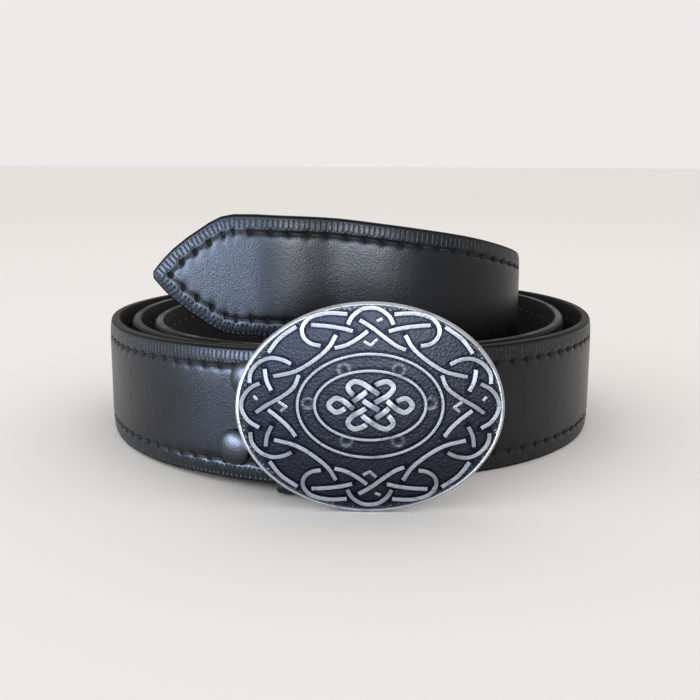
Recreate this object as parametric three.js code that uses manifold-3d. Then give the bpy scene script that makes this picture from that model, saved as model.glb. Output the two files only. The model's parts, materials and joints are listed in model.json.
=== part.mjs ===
// A thick black leather belt, coiled and standing on its edge, with an oval
// cast plate buckle. Millimetres, +Z up. The origin is on the surface that the
// belt stands on, in the middle of its plan. The buckle faces -Y.
import * as THREE from 'three';
import { mergeVertices } from 'three/addons/utils/BufferGeometryUtils.js';
import Module from 'manifold-3d';

const wasm = await Module();
wasm.setup();

// Strap sizes
const STRAP_WIDTH = 40;
const BACK = -1.75;            // inner face, from the middle of the thickness
const BORDER = 5.7;            // stitched border on each side
const STATION_STEP = 11.2;     // between sections along the coil
const TIP_STRAIGHT = 35.5;     // straight run that ends in the point
const TIP_FALL = 0.5;          // how far the point hangs below the start of that run
const TIP_LENGTH = 28.5;
const HOLE_RADIUS = 2.5;
const HOLE_COUNT = 7;
const HOLE_PITCH = 25;
const FIRST_HOLE = 170;        // from the point, along the strap

// Folded buckle end
const BAR_RADIUS = 1.6;
const FOLD_RADIUS = 3.9;       // of the middle of the leather round the bar
const TAB_LENGTH = 42;
const TAB_GAP = 0.45;          // between the two layers where the snaps close them
const LAYER = 3.7;             // thickness of one layer with its raised middle

// Buckle plate
const PLATE = { x: 8, y: -106, z: 29.3, halfWidth: 36.4, halfHeight: 29.15 };
const CROWN = 2.2;             // how far the middle stands in front of the rim
const PLATE_THICK = 2.3;
const RELIEF = 0.75;           // height of the raised knotwork
const STRAND = { half: 0.66, top: 0.4 };
const PATTERN = { across: 0.975, up: 0.989, rise: 0.5 };   // the knotwork's size and place on the plate

// The coil, seen from above: the middle line of the leather, in polar steps
// clockwise from the buckle, and how high its lower edge stands.
const COIL = [
  { turn: 0, reach: 94.0, lift: 3.2 },
  { turn: 25, reach: 87.2, lift: 1.6 },
  { turn: 60, reach: 83.2, lift: 0 },
  { turn: 90, reach: 83.5, lift: 0 },
  { turn: 135, reach: 84.5, lift: 0 },
  { turn: 180, reach: 91.9, lift: 0 },
  { turn: 225, reach: 97.0, lift: 0 },
  { turn: 270, reach: 90.0, lift: 0 },
  { turn: 315, reach: 83.6, lift: 0 },
  { turn: 360, reach: 77.6, lift: 0 },
  { turn: 405, reach: 78.0, lift: 0 },
  { turn: 450, reach: 75.1, lift: 0 },
  { turn: 495, reach: 77.6, lift: 0 },
  { turn: 540, reach: 85.0, lift: 0 },
  { turn: 585, reach: 89.0, lift: 0 },
  { turn: 630, reach: 80.0, lift: 0 },
  { turn: 675, reach: 77.6, lift: 0 },
  { turn: 720, reach: 72.7, lift: 0 },
  { turn: 765, reach: 72.8, lift: 0 },
  { turn: 810, reach: 65.2, lift: 0 },
  { turn: 855, reach: 62.4, lift: 0 },
  { turn: 900, reach: 65.6, lift: 6.2 },
  { turn: 945, reach: 68.0, lift: 15.2 },
  { turn: 990, reach: 63.4, lift: 21.5 },
  { turn: 1035, reach: 51.8, lift: 31.0 },
  { turn: 1080, reach: 43.8, lift: 36.4 },
  { turn: 1112, reach: 53.5, lift: 38.0 },
];

// Half width of the strap near its point, by distance from the point.
const POINT = [
  { from: 0, half: 0.8 },
  { from: 1.3, half: 2.7 },
  { from: 4, half: 5.6 },
  { from: 7.2, half: 8.6 },
  { from: 12.5, half: 12.5 },
  { from: 20.4, half: 17.4 },
  { from: 24.5, half: 19.3 },
  { from: TIP_LENGTH, half: 20 },
];

// Section of one layer: distance in from the edge, and outward from the middle
// of the thickness. The same on both edges.
const SECTION = [
  { inset: 0.6, out: BACK },
  { inset: 0, out: -0.9 },
  { inset: 0, out: 0.7 },
  { inset: BORDER - 0.4, out: 1.5 },
  { inset: BORDER + 0.7, out: 1.95 },
];
const MIDDLE_OUT = 1.7;        // the face is very slightly hollow between the borders

const rad = THREE.MathUtils.degToRad;

function smoothRow(rows, keyX, keyY, q) {
  const n = rows.length;
  let i = 0;
  while (i < n - 2 && q > rows[i + 1][keyX]) i += 1;
  const slope = (k) => {
    const a = rows[Math.max(k - 1, 0)];
    const b = rows[Math.min(k + 1, n - 1)];
    return (b[keyY] - a[keyY]) / (b[keyX] - a[keyX]);
  };
  const a = rows[i];
  const b = rows[i + 1];
  const h = b[keyX] - a[keyX];
  const u = THREE.MathUtils.clamp((q - a[keyX]) / h, 0, 1);
  return (2 * u ** 3 - 3 * u ** 2 + 1) * a[keyY] + (u ** 3 - 2 * u ** 2 + u) * h * slope(i)
    + (-2 * u ** 3 + 3 * u ** 2) * b[keyY] + (u ** 3 - u ** 2) * h * slope(i + 1);
}

function coilPoint(turn) {
  const reach = smoothRow(COIL, 'turn', 'reach', turn);
  const a = rad(turn);
  const lift = Math.max(0, smoothRow(COIL, 'turn', 'lift', turn));
  return new THREE.Vector3(-reach * Math.sin(a), -reach * Math.cos(a), lift);
}

function flatLength(points) {
  const run = [0];
  for (let i = 1; i < points.length; i += 1) run.push(run[i - 1] + points[i].distanceTo(points[i - 1]));
  return run;
}

function pointAt(points, run, s) {
  let i = 1;
  while (i < points.length - 1 && run[i] < s) i += 1;
  const u = (s - run[i - 1]) / (run[i] - run[i - 1]);
  return points[i - 1].clone().lerp(points[i], u);
}

// Fine line of the coil, with the straight run to the point
const coilFine = [];
const LAST_TURN = COIL[COIL.length - 1].turn;
for (let turn = 0; turn <= LAST_TURN; turn += 1) coilFine.push(coilPoint(turn));
const lastStep = coilFine[coilFine.length - 1].clone().sub(coilFine[coilFine.length - 2]).normalize();
const tipSteps = 18;
for (let i = 1; i <= tipSteps; i += 1) {
  const run = new THREE.Vector3(lastStep.x * TIP_STRAIGHT, lastStep.y * TIP_STRAIGHT, -TIP_FALL);
  coilFine.push(coilPoint(LAST_TURN).addScaledVector(run, i / tipSteps));
}
const coilRun = flatLength(coilFine);
const COIL_LENGTH = coilRun[coilRun.length - 1];

function coilFrame(s) {
  const p = pointAt(coilFine, coilRun, s);
  const a = pointAt(coilFine, coilRun, Math.max(0, s - 1.5));
  const b = pointAt(coilFine, coilRun, Math.min(COIL_LENGTH, s + 1.5));
  const along = b.sub(a).setZ(0).normalize();
  return { p, along, out: new THREE.Vector3(-along.y, along.x, 0) };
}

// The whole strap line: the inner tab, round the bar, then along the coil
const start = coilFrame(0);
const BAR = start.p.clone().addScaledVector(start.out, -FOLD_RADIUS);
const line = [];
const tabSteps = 7;
for (let i = 0; i < tabSteps; i += 1) {
  const s = TAB_LENGTH * (1 - i / tabSteps);
  const f = coilFrame(s);
  const close = THREE.MathUtils.smoothstep(s, 2, 22);
  const apart = THREE.MathUtils.lerp(2 * FOLD_RADIUS, LAYER + TAB_GAP, close);
  line.push({ p: f.p.clone().addScaledVector(f.out, -apart), side: -1, s });
}
for (let i = 0; i <= 6; i += 1) {
  const a = Math.PI * (i / 6);
  const p = BAR.clone()
    .addScaledVector(start.out, -FOLD_RADIUS * Math.cos(a))
    .addScaledVector(start.along, -FOLD_RADIUS * Math.sin(a));
  line.push({ p });
}
const stepCount = Math.round(COIL_LENGTH / STATION_STEP);
for (let i = 1; i <= stepCount; i += 1) {
  const s = (COIL_LENGTH - TIP_LENGTH) * (i / stepCount);
  line.push({ p: coilFrame(s).p });
}
for (let i = POINT.length - 2; i >= 0; i -= 1) {
  line.push({ p: coilFrame(COIL_LENGTH - POINT[i].from).p, half: POINT[i].half });
}

function closedSolid(rings) {
  const m = rings[0].length;
  const pos = [];
  rings.forEach((ring) => ring.forEach((v) => pos.push(v.x, v.y, v.z)));
  const tri = [];
  for (let i = 0; i < rings.length - 1; i += 1) {
    for (let j = 0; j < m; j += 1) {
      const a = i * m + j;
      const b = i * m + ((j + 1) % m);
      tri.push(a, b, a + m, b, b + m, a + m);
    }
  }
  const capFan = (base, flip) => {
    const flat = rings[base / m].map((v) => v);
    const origin = flat[0];
    const u = flat[Math.floor(m / 2)].clone().sub(origin).normalize();
    const n = new THREE.Vector3();
    for (let j = 1; j < m - 1; j += 1) {
      n.add(flat[j].clone().sub(origin).cross(flat[j + 1].clone().sub(origin)));
    }
    n.normalize();
    const w = n.clone().cross(u);
    const outline = flat.map((v) => new THREE.Vector2(v.clone().sub(origin).dot(u), v.clone().sub(origin).dot(w)));
    THREE.ShapeUtils.triangulateShape(outline, []).forEach(([a, b, c]) => {
      if (flip) tri.push(base + a, base + c, base + b);
      else tri.push(base + a, base + b, base + c);
    });
  };
  capFan(0, true);
  capFan((rings.length - 1) * m, false);
  const geometry = new THREE.BufferGeometry();
  geometry.setAttribute('position', new THREE.Float32BufferAttribute(pos, 3));
  geometry.setIndex(tri);
  return outward(geometry);
}

function volume(geometry) {
  const p = geometry.attributes.position;
  const index = geometry.index;
  const a = new THREE.Vector3();
  const b = new THREE.Vector3();
  const c = new THREE.Vector3();
  let total = 0;
  for (let i = 0; i < index.count; i += 3) {
    a.fromBufferAttribute(p, index.getX(i));
    b.fromBufferAttribute(p, index.getX(i + 1));
    c.fromBufferAttribute(p, index.getX(i + 2));
    total += a.dot(b.clone().cross(c)) / 6;
  }
  return total;
}

function outward(geometry) {
  if (volume(geometry) > 0) return geometry;
  const array = geometry.index.array;
  for (let i = 0; i < array.length; i += 3) [array[i], array[i + 1]] = [array[i + 1], array[i]];
  return geometry;
}

function toSolid(geometry) {
  const bare = geometry.clone();
  Object.keys(bare.attributes).forEach((name) => { if (name !== 'position') bare.deleteAttribute(name); });
  const merged = outward(mergeVertices(bare, 1e-4));
  return new wasm.Manifold(new wasm.Mesh({
    numProp: 3,
    vertProperties: new Float32Array(merged.attributes.position.array),
    triVerts: new Uint32Array(merged.index.array),
  }));
}

function toGeometry(solid) {
  const mesh = solid.getMesh();
  const geometry = new THREE.BufferGeometry();
  geometry.setAttribute('position', new THREE.Float32BufferAttribute(mesh.vertProperties, 3));
  geometry.setIndex(new THREE.Uint32BufferAttribute(mesh.triVerts, 1));
  return geometry;
}

function rod(radius, from, to, sides = 10) {
  const length = from.distanceTo(to);
  const geometry = new THREE.CylinderGeometry(radius, radius, length, sides);
  geometry.applyQuaternion(new THREE.Quaternion().setFromUnitVectors(new THREE.Vector3(0, 1, 0), to.clone().sub(from).normalize()));
  const mid = from.clone().add(to).multiplyScalar(0.5);
  geometry.translate(mid.x, mid.y, mid.z);
  return geometry;
}

// ---- strap ---------------------------------------------------------------
function sectionRing(p, out, half) {
  const squeeze = Math.min(1, half / 9);
  const ring = [];
  const push = (z, o) => ring.push(new THREE.Vector3(p.x + out.x * o, p.y + out.y * o, p.z + STRAP_WIDTH / 2 + z));
  SECTION.forEach(({ inset, out: o }) => push(-half + inset * squeeze, o));
  push(0, MIDDLE_OUT);
  [...SECTION].reverse().forEach(({ inset, out: o }) => push(half - inset * squeeze, o));
  return ring;
}

const rings = line.map((station, i) => {
  const before = line[Math.max(0, i - 1)].p;
  const after = line[Math.min(line.length - 1, i + 1)].p;
  const along = after.clone().sub(before).setZ(0).normalize();
  const out = new THREE.Vector3(-along.y, along.x, 0);
  return sectionRing(station.p, out, station.half ?? STRAP_WIDTH / 2);
});
let strapSolid = toSolid(closedSolid(rings));
for (let i = 0; i < HOLE_COUNT; i += 1) {
  const f = coilFrame(COIL_LENGTH - FIRST_HOLE - i * HOLE_PITCH);
  const centre = f.p.clone().setZ(f.p.z + STRAP_WIDTH / 2);
  strapSolid = strapSolid.subtract(toSolid(rod(HOLE_RADIUS, centre.clone().addScaledVector(f.out, -4), centre.clone().addScaledVector(f.out, 4))));
}

// ---- snaps: domed cap, post through both layers, flat socket inside --------
const SNAPS = [
  { name: 'snap_upper', along: 27.6, z: 33.1 },
  { name: 'snap_lower', along: 32.2, z: 12.3 },
];
const SNAP_PROFILE = { cap: 5.4, capHeight: 2.3, post: 1.7, hole: 2.1, socket: 5.2, socketHeight: 1.7 };
const FACE_GAP = 0.45;
const snapMeshes = SNAPS.map(({ name, along, z }) => {
  const f = coilFrame(along);
  const front = 1.95 + FACE_GAP;
  const rear = -(LAYER + TAB_GAP) - 1.95 - FACE_GAP;
  const s = SNAP_PROFILE;
  const profile = [
    [0, rear - s.socketHeight], [s.socket - 0.6, rear - s.socketHeight], [s.socket, rear - s.socketHeight + 0.6],
    [s.socket, rear], [s.post, rear], [s.post, front], [s.cap, front], [s.cap, front + 0.5],
    [s.cap * 0.9, front + 1.25], [s.cap * 0.66, front + 1.9], [s.cap * 0.33, front + 2.2], [0, front + s.capHeight],
  ].map(([r, h]) => new THREE.Vector2(r, h));
  const geometry = new THREE.LatheGeometry(profile, 16);
  geometry.applyQuaternion(new THREE.Quaternion().setFromUnitVectors(new THREE.Vector3(0, 1, 0), f.out));
  const at = f.p.clone().setZ(z);
  geometry.translate(at.x, at.y, at.z);
  strapSolid = strapSolid.subtract(toSolid(rod(s.hole, at.clone().addScaledVector(f.out, -9), at.clone().addScaledVector(f.out, 4))));
  return { name, geometry: toGeometry(toSolid(geometry)) };
});

// ---- keeper: narrow leather loop round both layers ------------------------
const KEEPER = { along: 12.0, width: 12, wall: 1.6, gap: 0.6 };
function roundedRect(shape, x0, x1, y0, y1, r) {
  const c = [[x1 - r, y0 + r, -90], [x1 - r, y1 - r, 0], [x0 + r, y1 - r, 90], [x0 + r, y0 + r, 180]];
  c.forEach(([cx, cy, a0], k) => {
    for (let i = 0; i <= 3; i += 1) {
      const a = rad(a0 + 30 * i);
      const x = cx + r * Math.cos(a);
      const y = cy + r * Math.sin(a);
      if (k === 0 && i === 0) shape.moveTo(x, y);
      else shape.lineTo(x, y);
    }
  });
  shape.closePath();
}
const keeperFrame = coilFrame(KEEPER.along);
const keeperRear = -7.5 - 1.95;
const loop = new THREE.Shape();
const k0 = keeperRear - KEEPER.gap;
const k1 = 1.95 + KEEPER.gap;
const kz0 = -KEEPER.gap - 0.1;
const kz1 = STRAP_WIDTH + KEEPER.gap + 0.1;
roundedRect(loop, k0 - KEEPER.wall, k1 + KEEPER.wall, kz0 - KEEPER.wall, kz1 + KEEPER.wall, 2.4);
const inside = new THREE.Path();
roundedRect(inside, k0, k1, kz0, kz1, 0.8);
loop.holes.push(inside);
const keeperGeometry = new THREE.ExtrudeGeometry(loop, { depth: KEEPER.width, bevelEnabled: false, steps: 1 });
keeperGeometry.translate(0, 0, -KEEPER.width / 2);
const keeperTurn = new THREE.Matrix4().makeBasis(keeperFrame.out, new THREE.Vector3(0, 0, 1), keeperFrame.along.clone().multiplyScalar(-1));
if (keeperTurn.determinant() < 0) keeperTurn.makeBasis(keeperFrame.out, new THREE.Vector3(0, 0, 1), keeperFrame.along);
keeperGeometry.applyMatrix4(keeperTurn);
keeperGeometry.translate(keeperFrame.p.x, keeperFrame.p.y, keeperFrame.p.z);

// ---- buckle plate ---------------------------------------------------------
// Plate coordinates: x across, z up, both from the plate's middle; depth
// counts toward the viewer.
function plateDepth(x, z) {
  const rho2 = (x / PLATE.halfWidth) ** 2 + (z / PLATE.halfHeight) ** 2;
  return CROWN * (1 - rho2);
}
const platePoint = (x, z, depth) => new THREE.Vector3(PLATE.x + x, PLATE.y - depth, PLATE.z + z);

// Rings of the plate, from the middle of the face over the rim to the back
const PLATE_RINGS = [
  { size: 0.5, over: 0 }, { size: 0.963, over: 0 },
  { size: 0.973, over: 0.5 }, { size: 0.985, over: 0.42 }, { size: 1.0, over: -0.6 },
  { size: 0.97, over: -PLATE_THICK },
];
function plateBody(sides) {
  const pos = [];
  const tri = [];
  const add = (v) => pos.push(v.x, v.y, v.z);
  add(platePoint(0, 0, plateDepth(0, 0)));
  PLATE_RINGS.forEach(({ size, over }) => {
    for (let j = 0; j < sides; j += 1) {
      const a = (2 * Math.PI * j) / sides;
      const x = size * PLATE.halfWidth * Math.cos(a);
      const z = size * PLATE.halfHeight * Math.sin(a);
      add(platePoint(x, z, plateDepth(x, z) + over));
    }
  });
  add(platePoint(0, 0, plateDepth(0, 0) - PLATE_THICK));
  const last = 1 + PLATE_RINGS.length * sides;
  for (let j = 0; j < sides; j += 1) {
    const k = (j + 1) % sides;
    tri.push(0, 1 + j, 1 + k);
    for (let i = 0; i < PLATE_RINGS.length - 1; i += 1) {
      const a = 1 + i * sides;
      tri.push(a + j, a + sides + j, a + k, a + k, a + sides + j, a + sides + k);
    }
    const b = 1 + (PLATE_RINGS.length - 1) * sides;
    tri.push(last, b + k, b + j);
  }
  const geometry = new THREE.BufferGeometry();
  geometry.setAttribute('position', new THREE.Float32BufferAttribute(pos, 3));
  geometry.setIndex(tri);
  return outward(geometry);
}

// Raised strands of the border, in the upper left part of the plate. Each is
// copied to its mirror places: 'x' left to right, 'z' top to bottom.
const BORDER_STRANDS = [
  { name: 'upper loop', mirror: 'xz', path: [[-6.1, 25.8], [-11.9, 26], [-16.7, 24.6], [-18.6, 22], [-18.2, 19.6], [-16.2, 17.9], [-13.3, 17.3]] },
  { name: 'inner line', mirror: 'xz', path: [[-16.4, 22.9], [-11.9, 22.6], [-7.7, 22], [-4.6, 21.2]] },
  { name: 'long curve', mirror: 'xz', path: [[-9.3, 20.4], [-11.4, 16.9], [-15.1, 13.6], [-20.4, 10.4], [-26.7, 8.8]] },
  { name: 'rim arc', mirror: 'xz', path: [[-28, 15], [-24.9, 19], [-20, 22.5]] },
  { name: 'side hook', mirror: 'xz', path: [[-33.1, 6.6], [-32.8, 9.6], [-30.6, 12.4], [-27.4, 13.8], [-24, 13.4], [-21.4, 12.2]] },
  { name: 'side bar', mirror: 'xz', path: [[-28.9, 11], [-28.4, 7.7], [-27, 4.7]] },
  { name: 'top arch', mirror: 'z', path: [[-6.3, 22.8], [-5, 25.2], [-2.4, 27.1], [0, 27.5], [2.4, 27.1], [5, 25.2], [6.3, 22.8]] },
  { name: 'over diagonal', mirror: 'z', path: [[-3.2, 24.4], [0.3, 22.3], [4, 19.5], [7.2, 17.3], [9.8, 16.3]] },
  { name: 'under diagonal', mirror: 'z', path: [[-10, 16.7], [-6.6, 17.6], [-3.4, 19.4], [-0.6, 21.5]] },
  { name: 'end loop', mirror: 'x', path: [[-30, 7], [-33, 5.4], [-35.2, 2.3], [-35.4, -0.5], [-33.5, -3.7], [-30.4, -5.6]] },
  { name: 'side curve', mirror: 'x', path: [[-19.4, 9.6], [-20.9, 6.1], [-24.1, 3.4], [-28.7, 0.7], [-31.6, -1.4]] },
  { name: 'cut curve', mirror: 'x', path: [[-28.2, -0.3], [-25.2, -2.6], [-22.3, -5.3], [-20.4, -7.9]] },
  { name: 'top chevron', mirror: 'z', path: [[-2, 18.7], [0, 17.6], [1.9, 19.3]] },
  { name: 'side chevron', mirror: 'x', path: [[-25.4, 2.1], [-23, 0.6], [-24.7, -0.8]] },
  { name: 'top stud', mirror: 'z', path: [[1.6, 24], [3, 24.6]] },
  { name: 'side stud', mirror: 'x', path: [[-31.9, 3.3], [-31, 2.3]] },
];
// Middle knot: one half of the line; the rest is its mirror top to bottom
const KNOT_MIDDLE = { x: 0.1, z: 1.2 };
const KNOT_SIZE = { across: 0.955, up: 0.94 };
const KNOT_QUARTER = [[-12, 0], [-10, 2.05], [-7.8, 1.3], [-4.6, -1.4], [-2, -3.4], [2.8, -6.6], [5, -6.9], [6.5, -5.3], [5.3, -3.3], [2.4, -1.5]];
const RINGS = [{ rx: 20.0, rz: 14.35, up: 0.85 }, { rx: 15.25, rz: 9.6, up: 1.05 }];

function strandSolid(path, closed, half, top, step) {
  const placed = path.map(([x, z]) => new THREE.Vector3(x * PATTERN.across, 0, z * PATTERN.up + PATTERN.rise));
  const curve = new THREE.CatmullRomCurve3(placed, closed, 'centripetal');
  const count = Math.max(2, Math.round(curve.getLength() / step));
  const spaced = curve.getSpacedPoints(count);
  if (closed) spaced.pop();
  const n = spaced.length;
  const sections = spaced.map((p, i) => {
    const a = spaced[closed ? (i - 1 + n) % n : Math.max(0, i - 1)];
    const b = spaced[closed ? (i + 1) % n : Math.min(n - 1, i + 1)];
    const along = b.clone().sub(a).normalize();
    const side = new THREE.Vector3(-along.z, 0, along.x);
    const ground = plateDepth(p.x, p.z);
    return [[-half, -0.6], [half, -0.6], [top, RELIEF], [-top, RELIEF]]
      .map(([w, h]) => platePoint(p.x + side.x * w, p.z + side.z * w, ground + h));
  });
  if (!closed) return toSolid(closedSolid(sections));
  const m = sections[0].length;
  const pos = [];
  sections.forEach((ring) => ring.forEach((v) => pos.push(v.x, v.y, v.z)));
  const tri = [];
  for (let i = 0; i < n; i += 1) {
    for (let j = 0; j < m; j += 1) {
      const a = i * m + j;
      const b = i * m + ((j + 1) % m);
      const c = ((i + 1) % n) * m + j;
      const d = ((i + 1) % n) * m + ((j + 1) % m);
      tri.push(a, b, c, b, d, c);
    }
  }
  const geometry = new THREE.BufferGeometry();
  geometry.setAttribute('position', new THREE.Float32BufferAttribute(pos, 3));
  geometry.setIndex(tri);
  return toSolid(outward(geometry));
}

let plateSolid = toSolid(plateBody(48));
BORDER_STRANDS.forEach(({ mirror, path }) => {
  const flipsX = mirror.includes('x') ? [1, -1] : [1];
  const flipsZ = mirror.includes('z') ? [1, -1] : [1];
  flipsX.forEach((fx) => flipsZ.forEach((fz) => {
    plateSolid = plateSolid.add(strandSolid(path.map(([x, z]) => [x * fx, z * fz]), false, STRAND.half, STRAND.top, 3.4));
  }));
});
RINGS.forEach(({ rx, rz, up }) => {
  const path = [];
  for (let i = 0; i < 24; i += 1) path.push([rx * Math.cos((Math.PI * i) / 12), up + rz * Math.sin((Math.PI * i) / 12)]);
  plateSolid = plateSolid.add(strandSolid(path, true, 0.52, 0.26, 4.2));
});
const quarter = KNOT_QUARTER.map(([x, z]) => [x * KNOT_SIZE.across, z * KNOT_SIZE.up]);
const turned = quarter.map(([x, z]) => [-x, -z]).reverse();
const halfKnot = [...quarter, [0, 0], ...turned];
const otherHalf = halfKnot.slice(1, -1).map(([x, z]) => [x, -z]).reverse();
// The line crosses itself, so it is built as two halves that meet at its ends
const knotHalves = [halfKnot, [halfKnot[halfKnot.length - 1], ...otherHalf, halfKnot[0]]];
knotHalves.forEach((half) => {
  const pieces = [half.slice(0, 7), half.slice(6, 11), half.slice(10, 15), half.slice(14)];
  pieces.filter((piece) => piece.length > 1).forEach((piece) => {
    plateSolid = plateSolid.add(strandSolid(piece.map(([x, z]) => [x + KNOT_MIDDLE.x, z + KNOT_MIDDLE.z]), false, 0.8, 0.5, 2.5));
  });
});

// Loop behind the plate that the strap folds round, and the hook for the holes
const legTop = BAR.z + STRAP_WIDTH + 0.6;
const legBottom = BAR.z - 0.5;
const LEG = 1.8;
function box(x0, x1, y0, y1, z0, z1) {
  const geometry = new THREE.BoxGeometry(x1 - x0, y1 - y0, z1 - z0);
  geometry.translate((x0 + x1) / 2, (y0 + y1) / 2, (z0 + z1) / 2);
  return toSolid(geometry);
}
// Each leg starts inside the plate's thickness: the crown is deeper at the upper one
const UPPER_ROOT = PLATE.y - 0.5;
const LOWER_ROOT = PLATE.y + 1;
plateSolid = plateSolid.add(box(BAR.x - 1.7, BAR.x + 1.7, UPPER_ROOT, BAR.y + 1.6, legTop, legTop + LEG));
plateSolid = plateSolid.add(box(BAR.x - 1.7, BAR.x + 1.7, LOWER_ROOT, BAR.y + 1.6, legBottom - LEG, legBottom));
plateSolid = plateSolid.add(toSolid(rod(BAR_RADIUS, new THREE.Vector3(BAR.x, BAR.y, legBottom - 0.3), new THREE.Vector3(BAR.x, BAR.y, legTop + 0.3), 16)));
const HOOK = { x: 34, z: 23.5, radius: 2, length: 9 };
plateSolid = plateSolid.add(toSolid(rod(HOOK.radius, new THREE.Vector3(HOOK.x, PLATE.y - 0.2, HOOK.z), new THREE.Vector3(HOOK.x, PLATE.y + HOOK.length, HOOK.z), 12)));
plateSolid = plateSolid.add(box(HOOK.x - 2, HOOK.x + 5, PLATE.y + HOOK.length - 2, PLATE.y + HOOK.length, HOOK.z - 2, HOOK.z + 2));

// ---- materials and group --------------------------------------------------
const leather = new THREE.MeshStandardMaterial({ name: 'black leather', color: 0x1b1c20, roughness: 0.45, metalness: 0 });
const silver = new THREE.MeshStandardMaterial({ name: 'antique silver', color: 0x9a9ca2, roughness: 0.38, metalness: 1 });
const gunmetal = new THREE.MeshStandardMaterial({ name: 'dark snap metal', color: 0x3c3e44, roughness: 0.4, metalness: 1 });

const group = new THREE.Group();
function addPiece(name, geometry, material) {
  const mesh = new THREE.Mesh(geometry, material);
  mesh.name = name;
  group.add(mesh);
}
addPiece('strap', toGeometry(strapSolid), leather);
addPiece('keeper', toGeometry(toSolid(keeperGeometry)), leather);
snapMeshes.forEach(({ name, geometry }) => addPiece(name, geometry, gunmetal));
addPiece('buckle_plate', toGeometry(plateSolid), silver);
// Stand the belt over the middle of its plan
const box3 = new THREE.Box3().setFromObject(group);
group.children.forEach((mesh) => mesh.position.set(-(box3.min.x + box3.max.x) / 2, -(box3.min.y + box3.max.y) / 2, 0));

export default group;
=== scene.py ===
# %% [markdown]
# # A coiled leather belt with a cast plate buckle
# The belt is a single band of thick black leather, 40 mm wide. It is coiled
# and stands on its edge, with an oval cast buckle plate at the front. This
# lesson dresses the plain solids of the belt: each piece is modelled lying
# flat or straight, as it would be on a bench, and is then bent or set in place.

# %% Tools and the frame
import contextlib
import json
import math

import bpy
import numpy as np
from mathutils import Matrix, Vector

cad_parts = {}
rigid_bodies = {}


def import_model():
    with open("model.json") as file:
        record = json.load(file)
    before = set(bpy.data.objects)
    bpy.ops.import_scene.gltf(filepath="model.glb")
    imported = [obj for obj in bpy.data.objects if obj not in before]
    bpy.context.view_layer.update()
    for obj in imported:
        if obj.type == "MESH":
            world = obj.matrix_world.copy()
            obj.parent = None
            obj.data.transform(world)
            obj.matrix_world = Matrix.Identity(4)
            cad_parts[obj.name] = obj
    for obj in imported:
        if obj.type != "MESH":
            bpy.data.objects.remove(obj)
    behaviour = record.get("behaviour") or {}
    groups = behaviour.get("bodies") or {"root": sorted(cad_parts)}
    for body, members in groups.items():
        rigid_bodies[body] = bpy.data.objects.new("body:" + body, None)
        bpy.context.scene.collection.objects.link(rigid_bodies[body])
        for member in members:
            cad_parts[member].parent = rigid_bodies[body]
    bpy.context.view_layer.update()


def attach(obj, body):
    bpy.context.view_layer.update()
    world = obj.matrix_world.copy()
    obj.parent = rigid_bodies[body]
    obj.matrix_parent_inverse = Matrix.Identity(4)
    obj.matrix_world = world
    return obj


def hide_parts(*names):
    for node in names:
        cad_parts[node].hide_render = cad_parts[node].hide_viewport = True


bpy.ops.object.select_all(action="SELECT")
bpy.ops.object.delete()
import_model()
MM = 0.001

# %% [markdown]
# ## Sizes that every piece shares
# The measurements are in millimetres, seen from above with the buckle toward
# the reader. PLAN_SHIFT moves them to the frame, whose origin is under the
# middle of the belt's plan.

# %% Shared sizes
PLAN_SHIFT = np.array([-3.55, 7.43, 0.0])
STRAP_WIDTH = 40.0
STRAP_BACK = -1.75
BORDER = 5.7
STITCH_PITCH = 5.9
TAB_LENGTH = 42.0
FOLD_RADIUS = 3.9
LAYER = 3.7
TAB_GAP = 0.45
TAB_CLOSES = (2.0, 20.0)
TIP_STRAIGHT = 35.5
TIP_FALL = 0.5
TIP_STEPS = 18
HOLE_RADIUS = 2.5
HOLE_COUNT = 7
HOLE_PITCH = 25.0
FIRST_HOLE = 170.0

# The middle line of the leather, clockwise from the buckle:
# turn in degrees, reach from the middle in mm, height of the lower edge in mm
COIL = np.array([
    (0, 94.0, 3.2), (25, 87.2, 1.6), (60, 83.2, 0), (90, 83.5, 0),
    (135, 84.5, 0), (180, 91.9, 0), (225, 97.0, 0), (270, 90.0, 0),
    (315, 83.6, 0), (360, 77.6, 0), (405, 78.0, 0), (450, 75.1, 0),
    (495, 77.6, 0), (540, 85.0, 0), (585, 89.0, 0), (630, 80.0, 0),
    (675, 77.6, 0), (720, 72.7, 0), (765, 72.8, 0), (810, 65.2, 0),
    (855, 62.4, 0), (900, 65.6, 6.2), (945, 68.0, 15.2), (990, 63.4, 21.5),
    (1035, 51.8, 31.0), (1080, 43.8, 36.4), (1112, 53.5, 38.0),
])

# Half width of the pointed end: distance from the point, half width, in mm
POINT = np.array([
    (0, 0.8), (1.3, 2.7), (4, 5.6), (7.2, 8.6),
    (12.5, 12.5), (20.4, 17.4), (24.5, 19.3), (28.5, 20),
])


# %% [markdown]
# ## Small helpers
# Operators act on whatever is selected, so each step starts by selecting one
# object and nothing else. Modifiers are applied at once, because a finished
# piece has its shape in its mesh.

# %% Helpers for selecting, applying and shading
def only(obj):
    """Select one object and make it the active one."""
    bpy.ops.object.select_all(action="DESELECT")
    obj.select_set(True)
    bpy.context.view_layer.objects.active = obj
    return obj


def named(name):
    """Name the object that an operator has just made."""
    obj = bpy.context.active_object
    obj.name = name
    obj.data.name = name
    return obj


def set_in_place(obj):
    """Leave the object's place, turn and size in its mesh."""
    only(obj)
    bpy.ops.object.transform_apply(location=True, rotation=True, scale=True)


def start_from(add, name, **settings):
    """Add a primitive with nothing else selected, named and set in place."""
    bpy.ops.object.select_all(action="DESELECT")
    add(**settings)
    obj = named(name)
    set_in_place(obj)
    return obj


def apply_modifier(obj, kind, **settings):
    only(obj)
    modifier = obj.modifiers.new(kind.title(), kind)
    for key, value in settings.items():
        setattr(modifier, key, value)
    bpy.ops.object.modifier_apply(modifier=modifier.name)


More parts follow.
